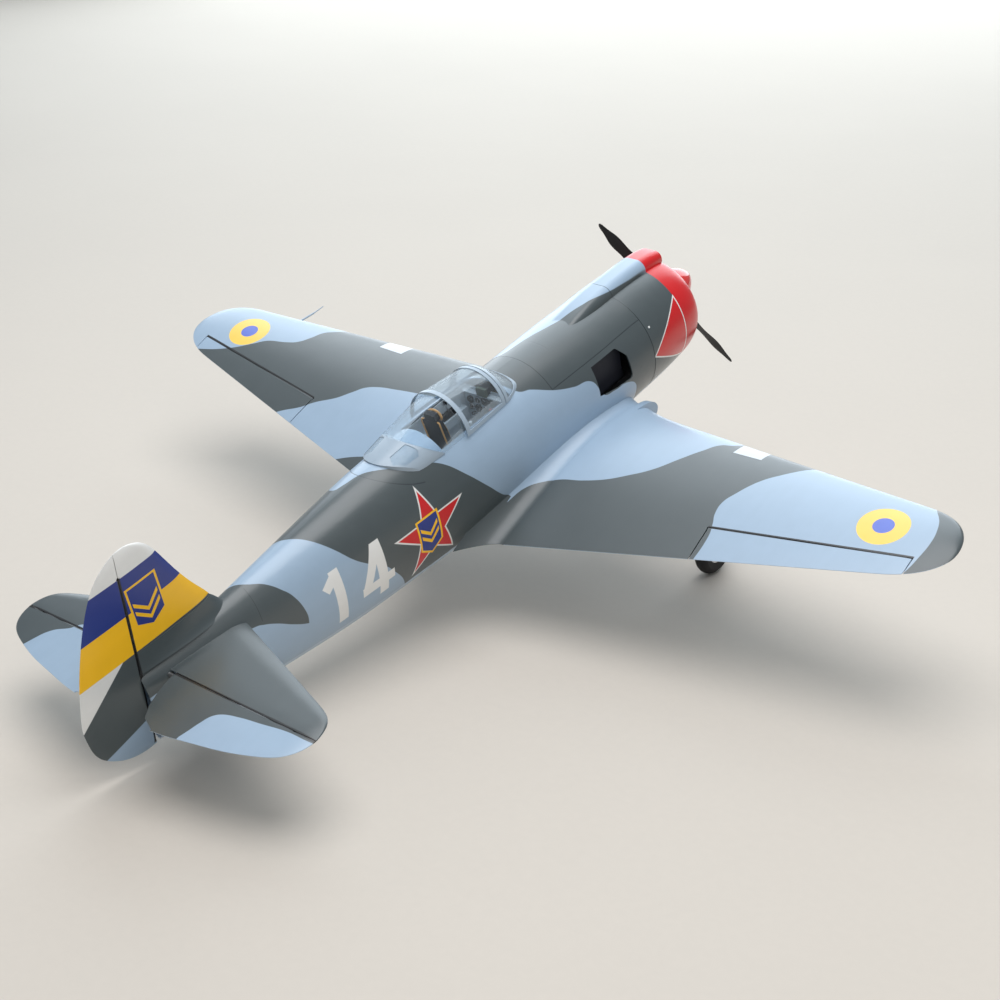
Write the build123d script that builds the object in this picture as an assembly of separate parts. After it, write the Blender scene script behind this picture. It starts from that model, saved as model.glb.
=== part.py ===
from build123d import *
from math import atan2, cos, degrees, pi, radians, sin, sqrt
import os

# Radio-controlled warbird, millimetres. It is drawn level: x runs to port, y aft from the spinner's
# tip, z up from the thrust line. Every piece is then tilted nose up and set down on its three wheels.
HALF_SPAN = 1000.0
STANCE_DEG = 14.6
GAP = 0.4                       # paint line gap between removable covers

# Fuselage: y, top, bottom and half width of each oval frame, from the cowling seam to the tail post
COWL_SEAM_Y = 310.0
TAIL_POST_Y = 1676.0
FRAMES = [
    (310, 121.5, -135.5, 128),
    (420, 124, -144, 128),
    (520, 127, -150, 125),
    (640, 130, -152, 119),
    (800, 136, -150, 112),
    (950, 141, -144, 103),
    (1060, 141, -137, 96),
    (1200, 132, -127, 84),
    (1350, 120, -108, 67),
    (1450, 112, -93, 55),
    (1600, 99, -66, 33),
    (1676, 92, -52, 19),
]
SKIN = 3.0
COWL_AXIS_Z = -7.0
COWL_OUTLINE = [(105, 86), (109, 99), (118, 108), (140, 117), (185, 123), (245, 126.8), (310, 128.4)]
HATCH_SILL_Z = 77.0
HATCH_REAR_Y = 609.0

# Wing: straight taper outside a rounded tip and a small glove at the root
WING_ROOT_X = 150.0
LEAD_Y, LEAD_SLOPE = 385.0, 0.133
TRAIL_Y, TRAIL_SLOPE = 925.0, -0.243
CHORD_Z, DIHEDRAL, INCIDENCE, CHORD_REF_Y = -112.0, 0.085, 0.04, 630.0
ROOT_DEPTH, TIP_DEPTH = 0.170, 0.120
CAMBER = 0.02
TIP_START_X = 880.0
WING_STATIONS = [150, 180, 215, 260, 360, 480, 600, 720, 820, 880, 915, 945, 968, 983, 992, 997, 999.6]
GLOVE_END_X, GLOVE_REACH = 260.0, 18.0

# Control surfaces
AILERON_IN, AILERON_OUT = (531.0, 717.0), (937.0, 656.0)
AILERON_TRAIL_SKEW = 7.0
FLAP_IN, FLAP_OUT = (172.0, 774.0), (523.0, 718.5)
FLAP_PLATE, FLAP_TRAIL = 2.6, 0.955
TAILPLANE_Z = 70.0
ELEVATOR_Y = 1626.0
ELEVATOR_IN_X, ELEVATOR_OUT_X = 36.0, 380.0
RUDDER_TOP, RUDDER_FOOT = (1648.0, 335.0), (1690.0, -50.0)
COVE = 1.0                      # air gap around each surface's round nose
PIN_R, PIN_BORE_R = 1.0, 1.06
LUG_R, LUG_W, LUG_SLOT = 3.2, 4.0, 0.6

# Propeller and spinner
PROP_R, PROP_DEG = 215.5, 41.0
SPINNER_R, SPINNER_LONG = 48.0, 97.0
SHAFT_R = 4.0
MOTOR_R, MOTOR_FRONT_Y, MOTOR_REAR_Y = 31.0, 176.0, 246.0
FIREWALL_Y = 322.0

# Main gear: pivot in the wing, wheel centre on the ground side of it
GEAR_PIVOT = (329.0, 480.0, -90.0)
WHEEL_CENTRE = (336.0, 457.0, -350.0)
WHEEL_R, WHEEL_W = 58.0, 32.0
RETRACT_DEG = 87.0
OLEO_TRAVEL = 12.0
WELL_X = (3.0, 146.0)

# Tail wheel
TAIL_WHEEL_CENTRE = (0.0, 1500.0, -112.5)
TAIL_WHEEL_R, TAIL_WHEEL_W = 25.0, 13.0
TAIL_PIVOT_Y = 1468.0

# Canopy: y, sill half width and crown height of the arches
SILL_Z = 107.0
WINDSCREEN = [(640, 44, 105), (667, 55, 129.5), (694, 64, 155), (724, 70, 175)]
HOOD = [(726, 70, 175), (790, 72.5, 182), (851, 75, 187)]
REAR_GLASS = [(853, 68.5, 181), (900, 69.5, 173.5), (950, 70, 160), (1000, 66, 149)]
GLASS = 1.2
HOOD_TRAVEL, HOOD_RISE_DEG = 95.0, 3.0
COCKPIT_Y, COCKPIT_HALF = (700.0, 915.0), 62.0

# Aileron linkage: both arms are as long, so the rod stays parallel
ARM = 21.0
LINK_X, SERVO_Y = 700.0, 612.0


# ---------------------------------------------------------------- helpers
def fuse(first, *others):
    for other in others:
        first = first + other
    return first


def port_and_starboard(shape):
    return {"left": shape, "right": mirror(shape, about=Plane.YZ)}


def slab(x0, x1, y0, y1, z0, z1):
    box = Box(abs(x1 - x0), abs(y1 - y0), abs(z1 - z0))
    return Pos((x0 + x1) / 2, (y0 + y1) / 2, (z0 + z1) / 2) * box


def rod(start, end, radius, end_radius=None):
    """A round bar, or a tapered one, from one point to another."""
    along = Vector(*end) - Vector(*start)
    plane = Plane(origin=start, z_dir=along)
    upright = (Align.CENTER, Align.CENTER, Align.MIN)
    if end_radius is None or abs(end_radius - radius) < 1e-6:
        return plane * Cylinder(radius, along.length, align=upright)
    return plane * Cone(radius, end_radius, along.length, align=upright)


def prism_xy(corners, z0, z1):
    """Upright prism over a plan outline of (x, y) corners."""
    return Pos(0, 0, z0) * extrude(make_face(Polyline(*corners, close=True)), z1 - z0)


def prism_yz(corners, x0, x1):
    """Prism across the aircraft over a side outline of (y, z) corners."""
    plane = Plane(origin=(x0, 0, 0), x_dir=(0, 1, 0), z_dir=(1, 0, 0))
    return extrude(plane * make_face(Polyline(*corners, close=True)), x1 - x0)


def between(a, b, share):
    return tuple(p + (q - p) * share for p, q in zip(a, b))


def largest(shape):
    return max(shape.solids(), key=lambda s: s.volume)


def revolve_y(profile_edges, z=0.0):
    """Turn a closed outline of (radius, y) edges around an axis along the aircraft."""
    plane = Plane(origin=(0, 0, z), x_dir=(1, 0, 0), z_dir=(0, 0, 1))
    axis = Axis((0, 0, z), (0, 1, 0))
    return revolve(plane * make_face(profile_edges), axis)


def aerofoil(plane, chord, depth, camber=0.0, tail=1.0, steps=9):
    """Wing section on a plane whose x runs aft and whose y is up; depth is its greatest thickness."""
    upper, lower = [], []
    for k in range(steps + 1):
        u = 0.5 * (1 - cos(pi * k / steps))
        form = 0.2969 * sqrt(u) - 0.1260 * u - 0.3516 * u**2 + 0.2843 * u**3 - 0.1036 * u**4
        half = 5 * depth * form + tail / 2 * u
        mean = camber * chord * 4 * u * (1 - u) * (1.3 - 0.6 * u)
        upper.append((u * chord, mean + half))
        lower.append((u * chord, mean - half))
    edge = Line(upper[-1], lower[-1])
    return plane * make_face([Spline(*upper), edge, Spline(*reversed(lower))])


# ---------------------------------------------------------------- fuselage
def oval(y, top, bottom, half_width, inset=0.0):
    plane = Plane(origin=(0, y, (top + bottom) / 2), x_dir=(1, 0, 0), z_dir=(0, -1, 0))
    return plane * Ellipse(half_width - inset, (top - bottom) / 2 - inset)


def hull(inset=0.0, frames=FRAMES):
    return loft([oval(*frame, inset=inset) for frame in frames])


def scoop_section(y, half_width, top, foot=92.0):
    plane = Plane(origin=(0, y, (top + foot) / 2), x_dir=(1, 0, 0), z_dir=(0, -1, 0))
    return plane * RectangleRounded(2 * half_width, top - foot, 0.46 * (top - foot))


def scoop(shrink=0.0):
    """Long air duct that lies along the top of the cowling and fades out on the hatch."""
    stations = [(120, 29, 127), (150, 31, 134), (185, 32, 138),
                (310, 33, 140), (400, 33.5, 132), (490, 34, 116)]
    return loft([scoop_section(y, w - shrink, top - shrink) for y, w, top in stations])


def root_flare(x):
    """How far the root fairing rises towards the fuselage side."""
    return 46.0 * max(0.0, (WING_ROOT_X - x) / 55.0) ** 2


def wing_root_stub():
    """Fixed wing root, swept up into the fuselage side and drawn out behind the trailing edge."""
    sections = []
    for x in (WING_ROOT_X, 138, 126, 114, 102, 90):
        lead, trail = wing_edges(WING_ROOT_X)
        flare = root_flare(x)
        sections.append(wing_section(x, lead - 0.25 * flare, trail + 1.5 * flare, rise=0.5 * flare,
                                     extra_depth=1.0 * flare))
    return loft(sections)


def fuselage_body():
    body = hull()
    for stub in port_and_starboard(wing_root_stub()).values():
        body = body + stub
    return body


def outlet_cutter():
    """Cooling air outlet in the side: round front corner, raked rear edge."""
    plane = Plane(origin=(85, 0, 0), x_dir=(0, 1, 0), z_dir=(1, 0, 0))
    corners = [(391, -12), (391, 40), (412, 66), (494, 66), (501, 2), (440, -8)]
    outline = make_face(Polyline(*corners, close=True))
    outline = fillet(outline.vertices().sort_by(Axis.X)[0:3], 9)
    return extrude(plane * outline, 60)


def fuselage_shell(wells, rudder_room, tail_slots):
    shell = fuselage_body() - hull(SKIN)
    shell -= slab(-200, 200, COWL_SEAM_Y - 1, COWL_SEAM_Y + GAP / 2, -200, 200)
    shell -= slab(-130, 130, COWL_SEAM_Y, HATCH_REAR_Y, HATCH_SILL_Z, 200)
    for cutter in port_and_starboard(outlet_cutter()).values():
        shell -= cutter
    y0, y1 = COCKPIT_Y
    shell -= slab(-COCKPIT_HALF, COCKPIT_HALF, y0, y1, 60, 200)
    coaming = slab(-COCKPIT_HALF - 6, COCKPIT_HALF + 6, y0 - 4, y1 + 4, 98, SILL_Z - 0.8)
    coaming -= slab(-COCKPIT_HALF, COCKPIT_HALF, y0, y1, 60, 200)
    shell += coaming - hull(SKIN)
    for cutter in (*wells, rudder_room, *tail_slots):
        shell -= cutter
    return largest(shell)


def cowling():
    outer = Spline(*[(r, y) for y, r in COWL_OUTLINE])
    lip_r, lip_y = COWL_OUTLINE[0][1], COWL_OUTLINE[0][0]
    rear_r = COWL_OUTLINE[-1][1]
    inner_rear = (rear_r - 2.5, COWL_SEAM_Y)
    lip = ThreePointArc((lip_r, lip_y), (lip_r - 4, lip_y + 4), (lip_r - 1, lip_y + 10))
    inside = Spline((lip_r - 1, lip_y + 10), (114, 150), (122.5, 215), inner_rear)
    ring = revolve_y([outer, Line((rear_r, COWL_SEAM_Y), inner_rear), inside, lip], COWL_AXIS_Z)
    core = revolve_y([outer, Line((rear_r, COWL_SEAM_Y), (0, COWL_SEAM_Y)),
                      Line((0, COWL_SEAM_Y), (0, lip_y)), Line((0, lip_y), (lip_r, lip_y))], COWL_AXIS_Z)
    duct = scoop() - core
    ring = ring + duct
    ring -= scoop(3.0) & slab(-60, 60, 100, 260, 112, 200)
    ring -= slab(-200, 200, COWL_SEAM_Y - GAP / 2, 700, -200, 200)
    return largest(ring)


def nose_hatch():
    region = slab(-130, 130, COWL_SEAM_Y + GAP / 2, HATCH_REAR_Y - GAP, HATCH_SILL_Z + GAP, 200)
    cover = (hull() + (scoop() & slab(-60, 60, COWL_SEAM_Y, 500, 100, 200))) - hull(SKIN)
    return largest(cover & region)


def plywood_frames():
    """Firewall, two bulkheads with lightening holes, and the battery tray."""
    plates = [bulkhead(FIREWALL_Y, 6, 18), bulkhead(655, 4, 60), bulkhead(1000, 4, 62)]
    return Compound(children=[*plates, battery_tray()])


def bulkhead(y, thick, hole):
    solid = hull(SKIN + 0.3) & slab(-200, 200, y, y + thick, -200, HATCH_SILL_Z - 3)
    return largest(solid - rod((0, y - 1, -20), (0, y + thick + 1, -20), hole))


def outlet_baffles():
    """Dark curved plates that close the back of the cooling air outlets."""
    plate = slab(92, 95, 386, 508, -20, 66)
    return Compound(children=[largest(p) for p in port_and_starboard(plate).values()])


# ---------------------------------------------------------------- wing
def tip_factor(x):
    u = max(0.0, (x - TIP_START_X) / (HALF_SPAN - TIP_START_X))
    return sqrt(max(1e-4, 1 - u**3))


def wing_edges(x):
    """Leading and trailing edge y at a distance out from the centre line."""
    lead = LEAD_Y + LEAD_SLOPE * x
    trail = TRAIL_Y + TRAIL_SLOPE * x
    glove = max(0.0, (GLOVE_END_X - x) / (GLOVE_END_X - WING_ROOT_X))
    lead -= GLOVE_REACH * min(1.0, glove) ** 2
    middle = 612.0
    factor = tip_factor(x)
    return middle - (middle - lead) * factor, middle + (trail - middle) * factor


def wing_depth(x):
    share = (x - WING_ROOT_X) / (HALF_SPAN - WING_ROOT_X)
    ratio = ROOT_DEPTH + (TIP_DEPTH - ROOT_DEPTH) * max(0.0, share)
    straight = TRAIL_Y + TRAIL_SLOPE * x - LEAD_Y - LEAD_SLOPE * x
    return ratio * straight * tip_factor(x)


def chord_height(x, y):
    return CHORD_Z + DIHEDRAL * x - INCIDENCE * (y - CHORD_REF_Y)


def wing_section(x, lead, trail, rise=0.0, extra_depth=0.0):
    origin = (x, lead, chord_height(x, lead) + rise)
    plane = Plane(origin=origin, x_dir=(0, 1, -INCIDENCE), z_dir=(1, 0, 0))
    return aerofoil(plane, trail - lead, wing_depth(max(x, WING_ROOT_X)) + extra_depth, CAMBER)


def wing_height(x, y, side=0):
    """Height of the mean line, or of the upper or lower skin, at a point of the plan."""
    lead, trail = wing_edges(x)
    u = (y - lead) / (trail - lead)
    form = 0.2969 * sqrt(u) - 0.1260 * u - 0.3516 * u**2 + 0.2843 * u**3 - 0.1036 * u**4
    mean = CAMBER * (trail - lead) * 4 * u * (1 - u) * (1.3 - 0.6 * u)
    return chord_height(x, y) + mean + side * (5 * wing_depth(x) * form + 0.5 * u)


def wing_solid():
    return loft([wing_section(x, *wing_edges(x)) for x in WING_STATIONS])


def root_intake():
    """Small ram intake at the leading edge beside the fuselage."""
    block = []
    for x in (WING_ROOT_X, 167):
        plane = Plane(origin=(x, 371, chord_height(x, 371)), x_dir=(0, 1, -INCIDENCE), z_dir=(1, 0, 0))
        block.append(aerofoil(plane, 260, 62, CAMBER))
    mouth = slab(153, 164, 365, 402, -106, -92)
    return loft(block) - mouth


def hinge_line(inner, outer):
    """Ends of a wing hinge, at the middle of the wing's depth."""
    a = (inner[0], inner[1], wing_height(*inner))
    b = (outer[0], outer[1], wing_height(*outer))
    return a, b


def half_depth(point):
    return (wing_height(*point, side=1) - wing_height(*point, side=-1)) / 2


def hinge_fittings(a, b, shares, nose_r, forward):
    """Lugs with webs towards the fixed part, the slots they turn in, pins and their bores."""
    lugs, slots, pins = [], [], []
    along = (Vector(*b) - Vector(*a)).normalized()
    for share in shares:
        centre = Vector(*between(a, b, share))
        reach = Vector(*forward) * (nose_r + 5)
        plane = Plane(origin=centre - along * (LUG_W / 2), z_dir=along, x_dir=forward)
        upright = (Align.CENTER, Align.CENTER, Align.MIN)
        web = plane * extrude(Rectangle(reach.length, 3, align=(Align.MIN, Align.CENTER)), LUG_W)
        bore = rod(centre - along * 14, centre + along * 14, PIN_BORE_R)
        lugs.append((plane * Cylinder(LUG_R, LUG_W, align=upright)) + web - bore)
        wide = Plane(origin=centre - along * (LUG_W / 2 + LUG_SLOT), z_dir=along, x_dir=forward)
        fan_r, fan_half = nose_r + 4, (nose_r + 4) * 0.78 + 2.2
        corners = [(0, 2.2), (fan_r, fan_half), (fan_r, -fan_half), (0, -2.2)]
        fan = make_face(Polyline(*corners, close=True))
        width = LUG_W + 2 * LUG_SLOT
        slots.append((wide * Cylinder(LUG_R + 1.4, width, align=upright)) + (wide * extrude(fan, width)))
        pins.append(rod(centre - along * 13, centre + along * 13, PIN_R))
        slots.append(bore)
    return lugs, slots, pins


def aileron_parts(wing):
    a, b = hinge_line(AILERON_IN, AILERON_OUT)
    nose = [half_depth(AILERON_IN), half_depth(AILERON_OUT)]
    xi, yi = AILERON_IN
    xo, yo = AILERON_OUT
    bay = prism_xy([(xi, yi), (xo, yo), (xo, 740), (xi + AILERON_TRAIL_SKEW, 840)], -200, 100)
    horn_root = linkage_point("hinge")
    horn_slot = slab(LINK_X - 2.4, LINK_X + 2.4, horn_root[1] - 13, horn_root[1] + 2,
                     horn_root[2] - 30, horn_root[2] - 4)
    room = bay + rod(a, b, nose[0] + COVE, nose[1] + COVE) + horn_slot
    edge = 2.4
    ia, ib = between(a, b, edge / 406), between(a, b, 1 - edge / 406)
    shape = prism_xy([(xi + edge, yi - 0.15), (xo - edge, yo + 0.15), (xo - edge, 740),
                      (xi + AILERON_TRAIL_SKEW + edge, 840)], -200, 100)
    surface = (wing & shape) + rod(ia, ib, nose[0] - 0.1, nose[1] - 0.1)
    lugs, slots, pins = hinge_fittings(a, b, (0.12, 0.5, 0.88), nose[0], (0, -1, 0))
    for slot in slots:
        surface -= slot
    horn = slab(LINK_X - 1.2, LINK_X + 1.2, horn_root[1] - 4, horn_root[1] + 16,
                horn_root[2] - ARM - 4, horn_root[2] - 2)
    pivot = linkage_point("horn")
    across = hinge_direction() * 3
    horn -= rod(Vector(*pivot) - across, Vector(*pivot) + across, 0.95)
    return largest(surface + horn), room, lugs, pins


def linkage_point(name):
    """Pivots of the aileron linkage, in the plane across the wing at LINK_X."""
    a, b = hinge_line(AILERON_IN, AILERON_OUT)
    share = (LINK_X - a[0]) / (b[0] - a[0])
    hinge = between(a, b, share)
    servo = (LINK_X, SERVO_Y, wing_height(LINK_X, SERVO_Y, -1) + 9)
    points = {"hinge": hinge, "horn": (hinge[0], hinge[1], hinge[2] - ARM),
              "servo": servo, "arm": (servo[0], servo[1], servo[2] - ARM)}
    return points[name]


def servo_arm():
    centre, tip = Vector(*linkage_point("servo")), Vector(*linkage_point("arm"))
    across = hinge_direction()
    plate = slab(-1.1, 1.1, -4, 4, -ARM - 3.5, 4)
    plate = fillet(plate.edges().filter_by(Axis.X), 3.4)
    plate = Pos(*(centre - across * 6.9)) * plate
    hub = rod(centre - across * 8.6, centre - across * 2.6, 3.4)
    hole = rod(tip - across * 10, tip, 0.95)
    return plate + hub - hole


def hinge_direction():
    a, b = hinge_line(AILERON_IN, AILERON_OUT)
    return (Vector(*b) - Vector(*a)).normalized()


def pushrod():
    """Steel rod with a pin at each end that turns in the horn and in the servo arm."""
    across = hinge_direction()
    horn, arm = Vector(*linkage_point("horn")), Vector(*linkage_point("arm"))
    side = across * 4.2
    wire = rod(arm - side, horn - side, 1.2)
    pins = [rod(horn - side, horn + across * 2, 0.85), rod(arm - across * 8.6, arm - side, 0.85)]
    return fuse(wire, *pins)


def servo_case():
    centre = Vector(*linkage_point("servo"))
    return Pos(*centre) * (slab(-1.8, 13, -12, 22, -6, 7) + slab(1, 4, -16, 26, -6, 7))


def flap_parts(wing):
    """Split flap: a plate cut from the lower skin, hung from a barrel at its front edge."""
    a = (FLAP_IN[0], FLAP_IN[1], wing_height(*FLAP_IN, side=-1) + 2.7)
    b = (FLAP_OUT[0], FLAP_OUT[1], wing_height(*FLAP_OUT, side=-1) + 2.7)
    trail = [wing_edges(p[0])[0] + (wing_edges(p[0])[1] - wing_edges(p[0])[0]) * FLAP_TRAIL for p in (a, b)]
    plan = [(a[0], a[1]), (b[0], b[1]), (b[0], trail[1]), (a[0], trail[0])]
    room_plan = [(a[0] - 1, a[1]), (b[0] + 1, b[1]), (b[0] + 1, trail[1] + 0.8), (a[0] - 1, trail[0] + 0.8)]
    skin = wing - Pos(0, 0, FLAP_PLATE) * wing
    recess = (wing - Pos(0, 0, FLAP_PLATE + 0.7) * wing) & prism_xy(room_plan, -200, 100)
    out_a, out_b = between(a, b, -1 / 355), between(a, b, 1 + 1 / 355)
    room = [recess, rod(out_a, out_b, 3.3)]
    flap = (skin & prism_xy(plan, -200, 100)) + rod(a, b, 2.3)
    lugs, pins = [], []
    along = (Vector(*b) - Vector(*a)).normalized()
    for share in (0.04, 0.5, 0.96):
        centre = Vector(*between(a, b, share))
        flap -= rod(centre - along * 3, centre + along * 3, 4.4)
        flap -= rod(centre - along * 14, centre + along * 14, PIN_BORE_R)
        eye = rod(centre - along * 2.5, centre + along * 2.5, 2.2)
        post = Pos(*centre) * slab(-2.2, 2.2, -1.6, 1.6, 0, 8)
        lugs.append(eye + post - rod(centre - along * 3, centre + along * 3, PIN_BORE_R))
        pins.append(rod(centre - along * 13, centre + along * 13, PIN_R))
    return largest(flap), room, lugs, pins


def leg_direction():
    return (Vector(*WHEEL_CENTRE) - Vector(*GEAR_PIVOT)).normalized()


def leg_point(down, outboard=0.0, aft=0.0):
    """Point at a distance down the leg from its pivot, offset outboard or aft."""
    d = leg_direction()
    return tuple(Vector(*GEAR_PIVOT) + d * down + Vector(outboard, aft, 0))


def gear_wells():
    """Room in the wing and belly for one retracted leg, its door and its wheel."""
    px, py, pz = GEAR_PIVOT
    wheel_y = WHEEL_CENTRE[1]
    well_r, first_x = WHEEL_R + 5, 69
    last_x = first_x + OLEO_TRAVEL
    wheel = slab(first_x, last_x, wheel_y - well_r, wheel_y + well_r, -200, -86)
    for x in (first_x, last_x):
        wheel += rod((x, wheel_y, -200), (x, wheel_y, -86), well_r)
    leg = slab(120, px + 20, wheel_y - 14, py + 18, -200, -78)
    door = slab(148, px + 8, 432, 507, -200, pz - 5)
    return [wheel & slab(*WELL_X, 380, 530, -200, -80), leg, door]


def wing_panel(wing, rooms, lugs):
    panel = wing + root_intake()
    panel -= slab(0, WING_ROOT_X + GAP / 2, 0, 1200, -300, 200)
    for room in rooms:
        panel -= room
    for lug in lugs:
        panel += lug
    return largest(panel)


def landing_light(wing):
    """Clear leading edge cover over a lamp, outboard of the propeller disc."""
    lens = wing & slab(450, 516, 380, 502, -200, 100)
    return largest(lens)


def pitot_tube():
    x, z = 785.0, wing_height(785, 500)
    mast = rod((x, 497, z), (x, 446, z - 4), 2.6, 2.2)
    return mast + rod((x, 446, z - 4), (x, 412, z - 4), 1.6, 1.1) + Pos(x, 446, z - 4) * Sphere(2.2)


def wing_tube():
    return rod((-300, 560, -88), (300, 560, -88), 11) - rod((-301, 560, -88), (301, 560, -88), 9.5)


# ---------------------------------------------------------------- tail
def follow(points, value):
    """Read a smooth curve through (position, reading) points."""
    last = len(points) - 1
    k = next((i for i in range(last) if value <= points[i + 1][0]), last - 1)
    (p0, r0), (p1, r1) = points[k], points[k + 1]

    def slope(i):
        low, high = points[max(0, i - 1)], points[min(last, i + 1)]
        return (high[1] - low[1]) / (high[0] - low[0])

    step = p1 - p0
    t = min(1.0, max(0.0, (value - p0) / step))
    rest = (2 * t**3 - 3 * t**2 + 1) * r0 + (3 * t**2 - 2 * t**3) * r1
    return rest + (t**3 - 2 * t**2 + t) * step * slope(k) + (t**3 - t**2) * step * slope(k + 1)


def spaced(low, high, count):
    """Stations that close up smoothly towards both ends."""
    return [low + (high - low) * 0.5 * (1 - cos(pi * k / count)) for k in range(count + 1)]


FIN_FOOT_Z, FIN_TOP_Z = -54.0, 341.0
FIN_LEAD = [(-54, 1600), (0, 1530), (60, 1475), (124, 1476), (175, 1503), (218, 1527), (255, 1544),
            (287, 1558), (312, 1571), (328, 1586), (337, 1602), (341, 1618)]
FIN_TRAIL = [(-54, 1704), (-49, 1730), (-38, 1755), (-20, 1780), (0, 1798), (20, 1806), (69, 1811),
             (110, 1802), (153, 1788), (190, 1773), (228, 1755), (262, 1736), (295, 1713), (316, 1692),
             (330, 1670), (337, 1654), (341, 1638)]


def fin_depth(z):
    body = 14.5 - 5.0 * max(0.0, z) / FIN_TOP_Z
    top = sqrt(max(0.03, min(1.0, (FIN_TOP_Z + 1 - z) / 18)))
    foot = sqrt(max(0.05, min(1.0, (z - FIN_FOOT_Z + 1) / 18)))
    return body * top * foot


def vertical_tail():
    sections = []
    for z in spaced(FIN_FOOT_Z, FIN_TOP_Z, 18):
        lead, trail = follow(FIN_LEAD, z), follow(FIN_TRAIL, z)
        plane = Plane(origin=(0, lead, z), x_dir=(0, 1, 0), z_dir=(0, 0, 1))
        sections.append(aerofoil(plane, trail - lead, fin_depth(z), steps=7))
    return loft(sections)


def fin_and_rudder():
    tail = vertical_tail()
    top, foot = (0, *RUDDER_TOP), (0, *RUDDER_FOOT)
    along = Vector(*top) - Vector(*foot)
    a, b = between(foot, top, -0.03), between(foot, top, 1.06)
    low_r, high_r = 6.0, 3.8
    aft = prism_yz([(a[1], a[2]), (b[1], b[2]), (1900, 400), (1900, -100)], -60, 60)
    room = aft + rod(a, b, low_r + COVE, high_r + COVE)
    rudder = (tail & aft) + (rod(a, b, low_r, high_r) & tail)
    forward = tuple(Vector(0, -along.Z, along.Y).normalized())
    lugs, slots, pins = hinge_fittings(foot, top, (0.14, 0.55, 0.90), low_r, forward)
    for slot in slots:
        rudder -= slot
    fin = tail - room
    fin = fin & slab(-60, 60, 1400, 1800, 60, 400)
    flare = fin_fillet() - room
    fin = fin + flare
    fin -= hull(0.0)
    for lug in lugs[1:]:
        fin += lug
    return largest(fin), largest(rudder), room, lugs[:1], pins


def fin_fillet():
    """Fairing that spreads the foot of the fin over the fuselage."""
    sections = []
    for z, spread, lead, trail in ((98, 40, 1440, 1685), (108, 27, 1456, 1682),
                                   (122, 18.5, 1468, 1680), (140, 14.2, 1482, 1679)):
        plane = Plane(origin=(0, lead, z), x_dir=(0, 1, 0), z_dir=(0, 0, 1))
        sections.append(aerofoil(plane, trail - lead, spread, steps=7, tail=9))
    return loft(sections)


TAILPLANE_TIP_X = 377.0
TAILPLANE_LEAD = [(-60, 1419), (0, 1440), (100, 1475), (200, 1510), (300, 1545), (330, 1556),
                  (352, 1567), (366, 1581), (374, 1599), (377, 1616)]
TAILPLANE_TRAIL = [(-60, 1748), (0, 1748), (112, 1745), (170, 1735), (257, 1717), (326, 1693), (352, 1677),
                   (366, 1660), (374, 1642), (377, 1628)]


def tailplane_solid():
    sections = []
    for k in range(13):
        x = TAILPLANE_TIP_X * sin(pi / 2 * k / 12)
        lead, trail = follow(TAILPLANE_LEAD, x), follow(TAILPLANE_TRAIL, x)
        plane = Plane(origin=(x, lead, TAILPLANE_Z), x_dir=(0, 1, 0), z_dir=(1, 0, 0))
        depth = (17 - 7 * x / TAILPLANE_TIP_X) * sqrt(max(0.05, min(1.0, (TAILPLANE_TIP_X + 1 - x) / 26)))
        sections.append(aerofoil(plane, trail - lead, depth, steps=7))
    return loft(sections)


def tailplane_parts():
    solid = tailplane_solid()
    a, b = (ELEVATOR_IN_X, ELEVATOR_Y, TAILPLANE_Z), (ELEVATOR_OUT_X, ELEVATOR_Y, TAILPLANE_Z)
    inner_r, outer_r = 7.7, 4.1
    aft = slab(0, 400, ELEVATOR_Y, 1800, 0, 120)
    room = aft + rod((0, a[1], a[2]), b, inner_r + COVE, outer_r + COVE)
    inner_cut = prism_xy([(-5, 1560), (ELEVATOR_IN_X, 1560), (ELEVATOR_IN_X, 1640), (41, 1668), (52, 1702),
                          (68, 1728), (100, 1743), (100, 1800), (-5, 1800)], 0, 120)
    elevator = (solid & aft) + (rod(a, (377, a[1], a[2]), inner_r, outer_r) & solid)
    lugs, slots, pins = hinge_fittings(a, b, (0.20, 0.56, 0.86), inner_r, (0, -1, 0))
    elevator -= inner_cut
    for slot in slots:
        elevator -= slot
    elevator -= rod((0, ELEVATOR_Y, TAILPLANE_Z), (74, ELEVATOR_Y, TAILPLANE_Z), 4.0)
    stabiliser = solid - room
    stabiliser &= slab(0.2, 400, 1400, 1800, 0, 120)
    stabiliser -= hull()
    for lug in lugs:
        stabiliser += lug
    return largest(stabiliser), largest(elevator), pins


# ---------------------------------------------------------------- propulsion
def spinner():
    outer = spinner_outline(SPINNER_R, 0.0)
    inner = spinner_outline(SPINNER_R - 1.6, 3.0)
    shell = outer - inner
    slot = slab(-SPINNER_R - 2, SPINNER_R + 2, SPINNER_LONG - 22, SPINNER_LONG + 10, -13, 13)
    return largest(shell - turned(slot))


def turned(shape):
    """Turn a piece about the thrust line to the propeller's angle at rest."""
    return Rot(0, -PROP_DEG, 0) * shape


def spinner_outline(radius, start):
    tip_r = 9.0 if start == 0.0 else 7.0
    side = Spline((tip_r, start + 1.5), (radius * 0.62, start + 27), (radius * 0.9, start + 60),
                  (radius, SPINNER_LONG))
    edges = [Line((0, start), (tip_r - 1.5, start)), Line((tip_r - 1.5, start), (tip_r, start + 1.5)),
             side, Line((radius, SPINNER_LONG), (0, SPINNER_LONG)), Line((0, SPINNER_LONG), (0, start))]
    return revolve_y(edges)


def spinner_backplate():
    disc = rod((0, SPINNER_LONG + 0.3, 0), (0, SPINNER_LONG + 3.0, 0), SPINNER_R)
    disc -= rod((0, 60, 0), (0, 120, 0), SHAFT_R + 0.05)
    return disc


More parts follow.
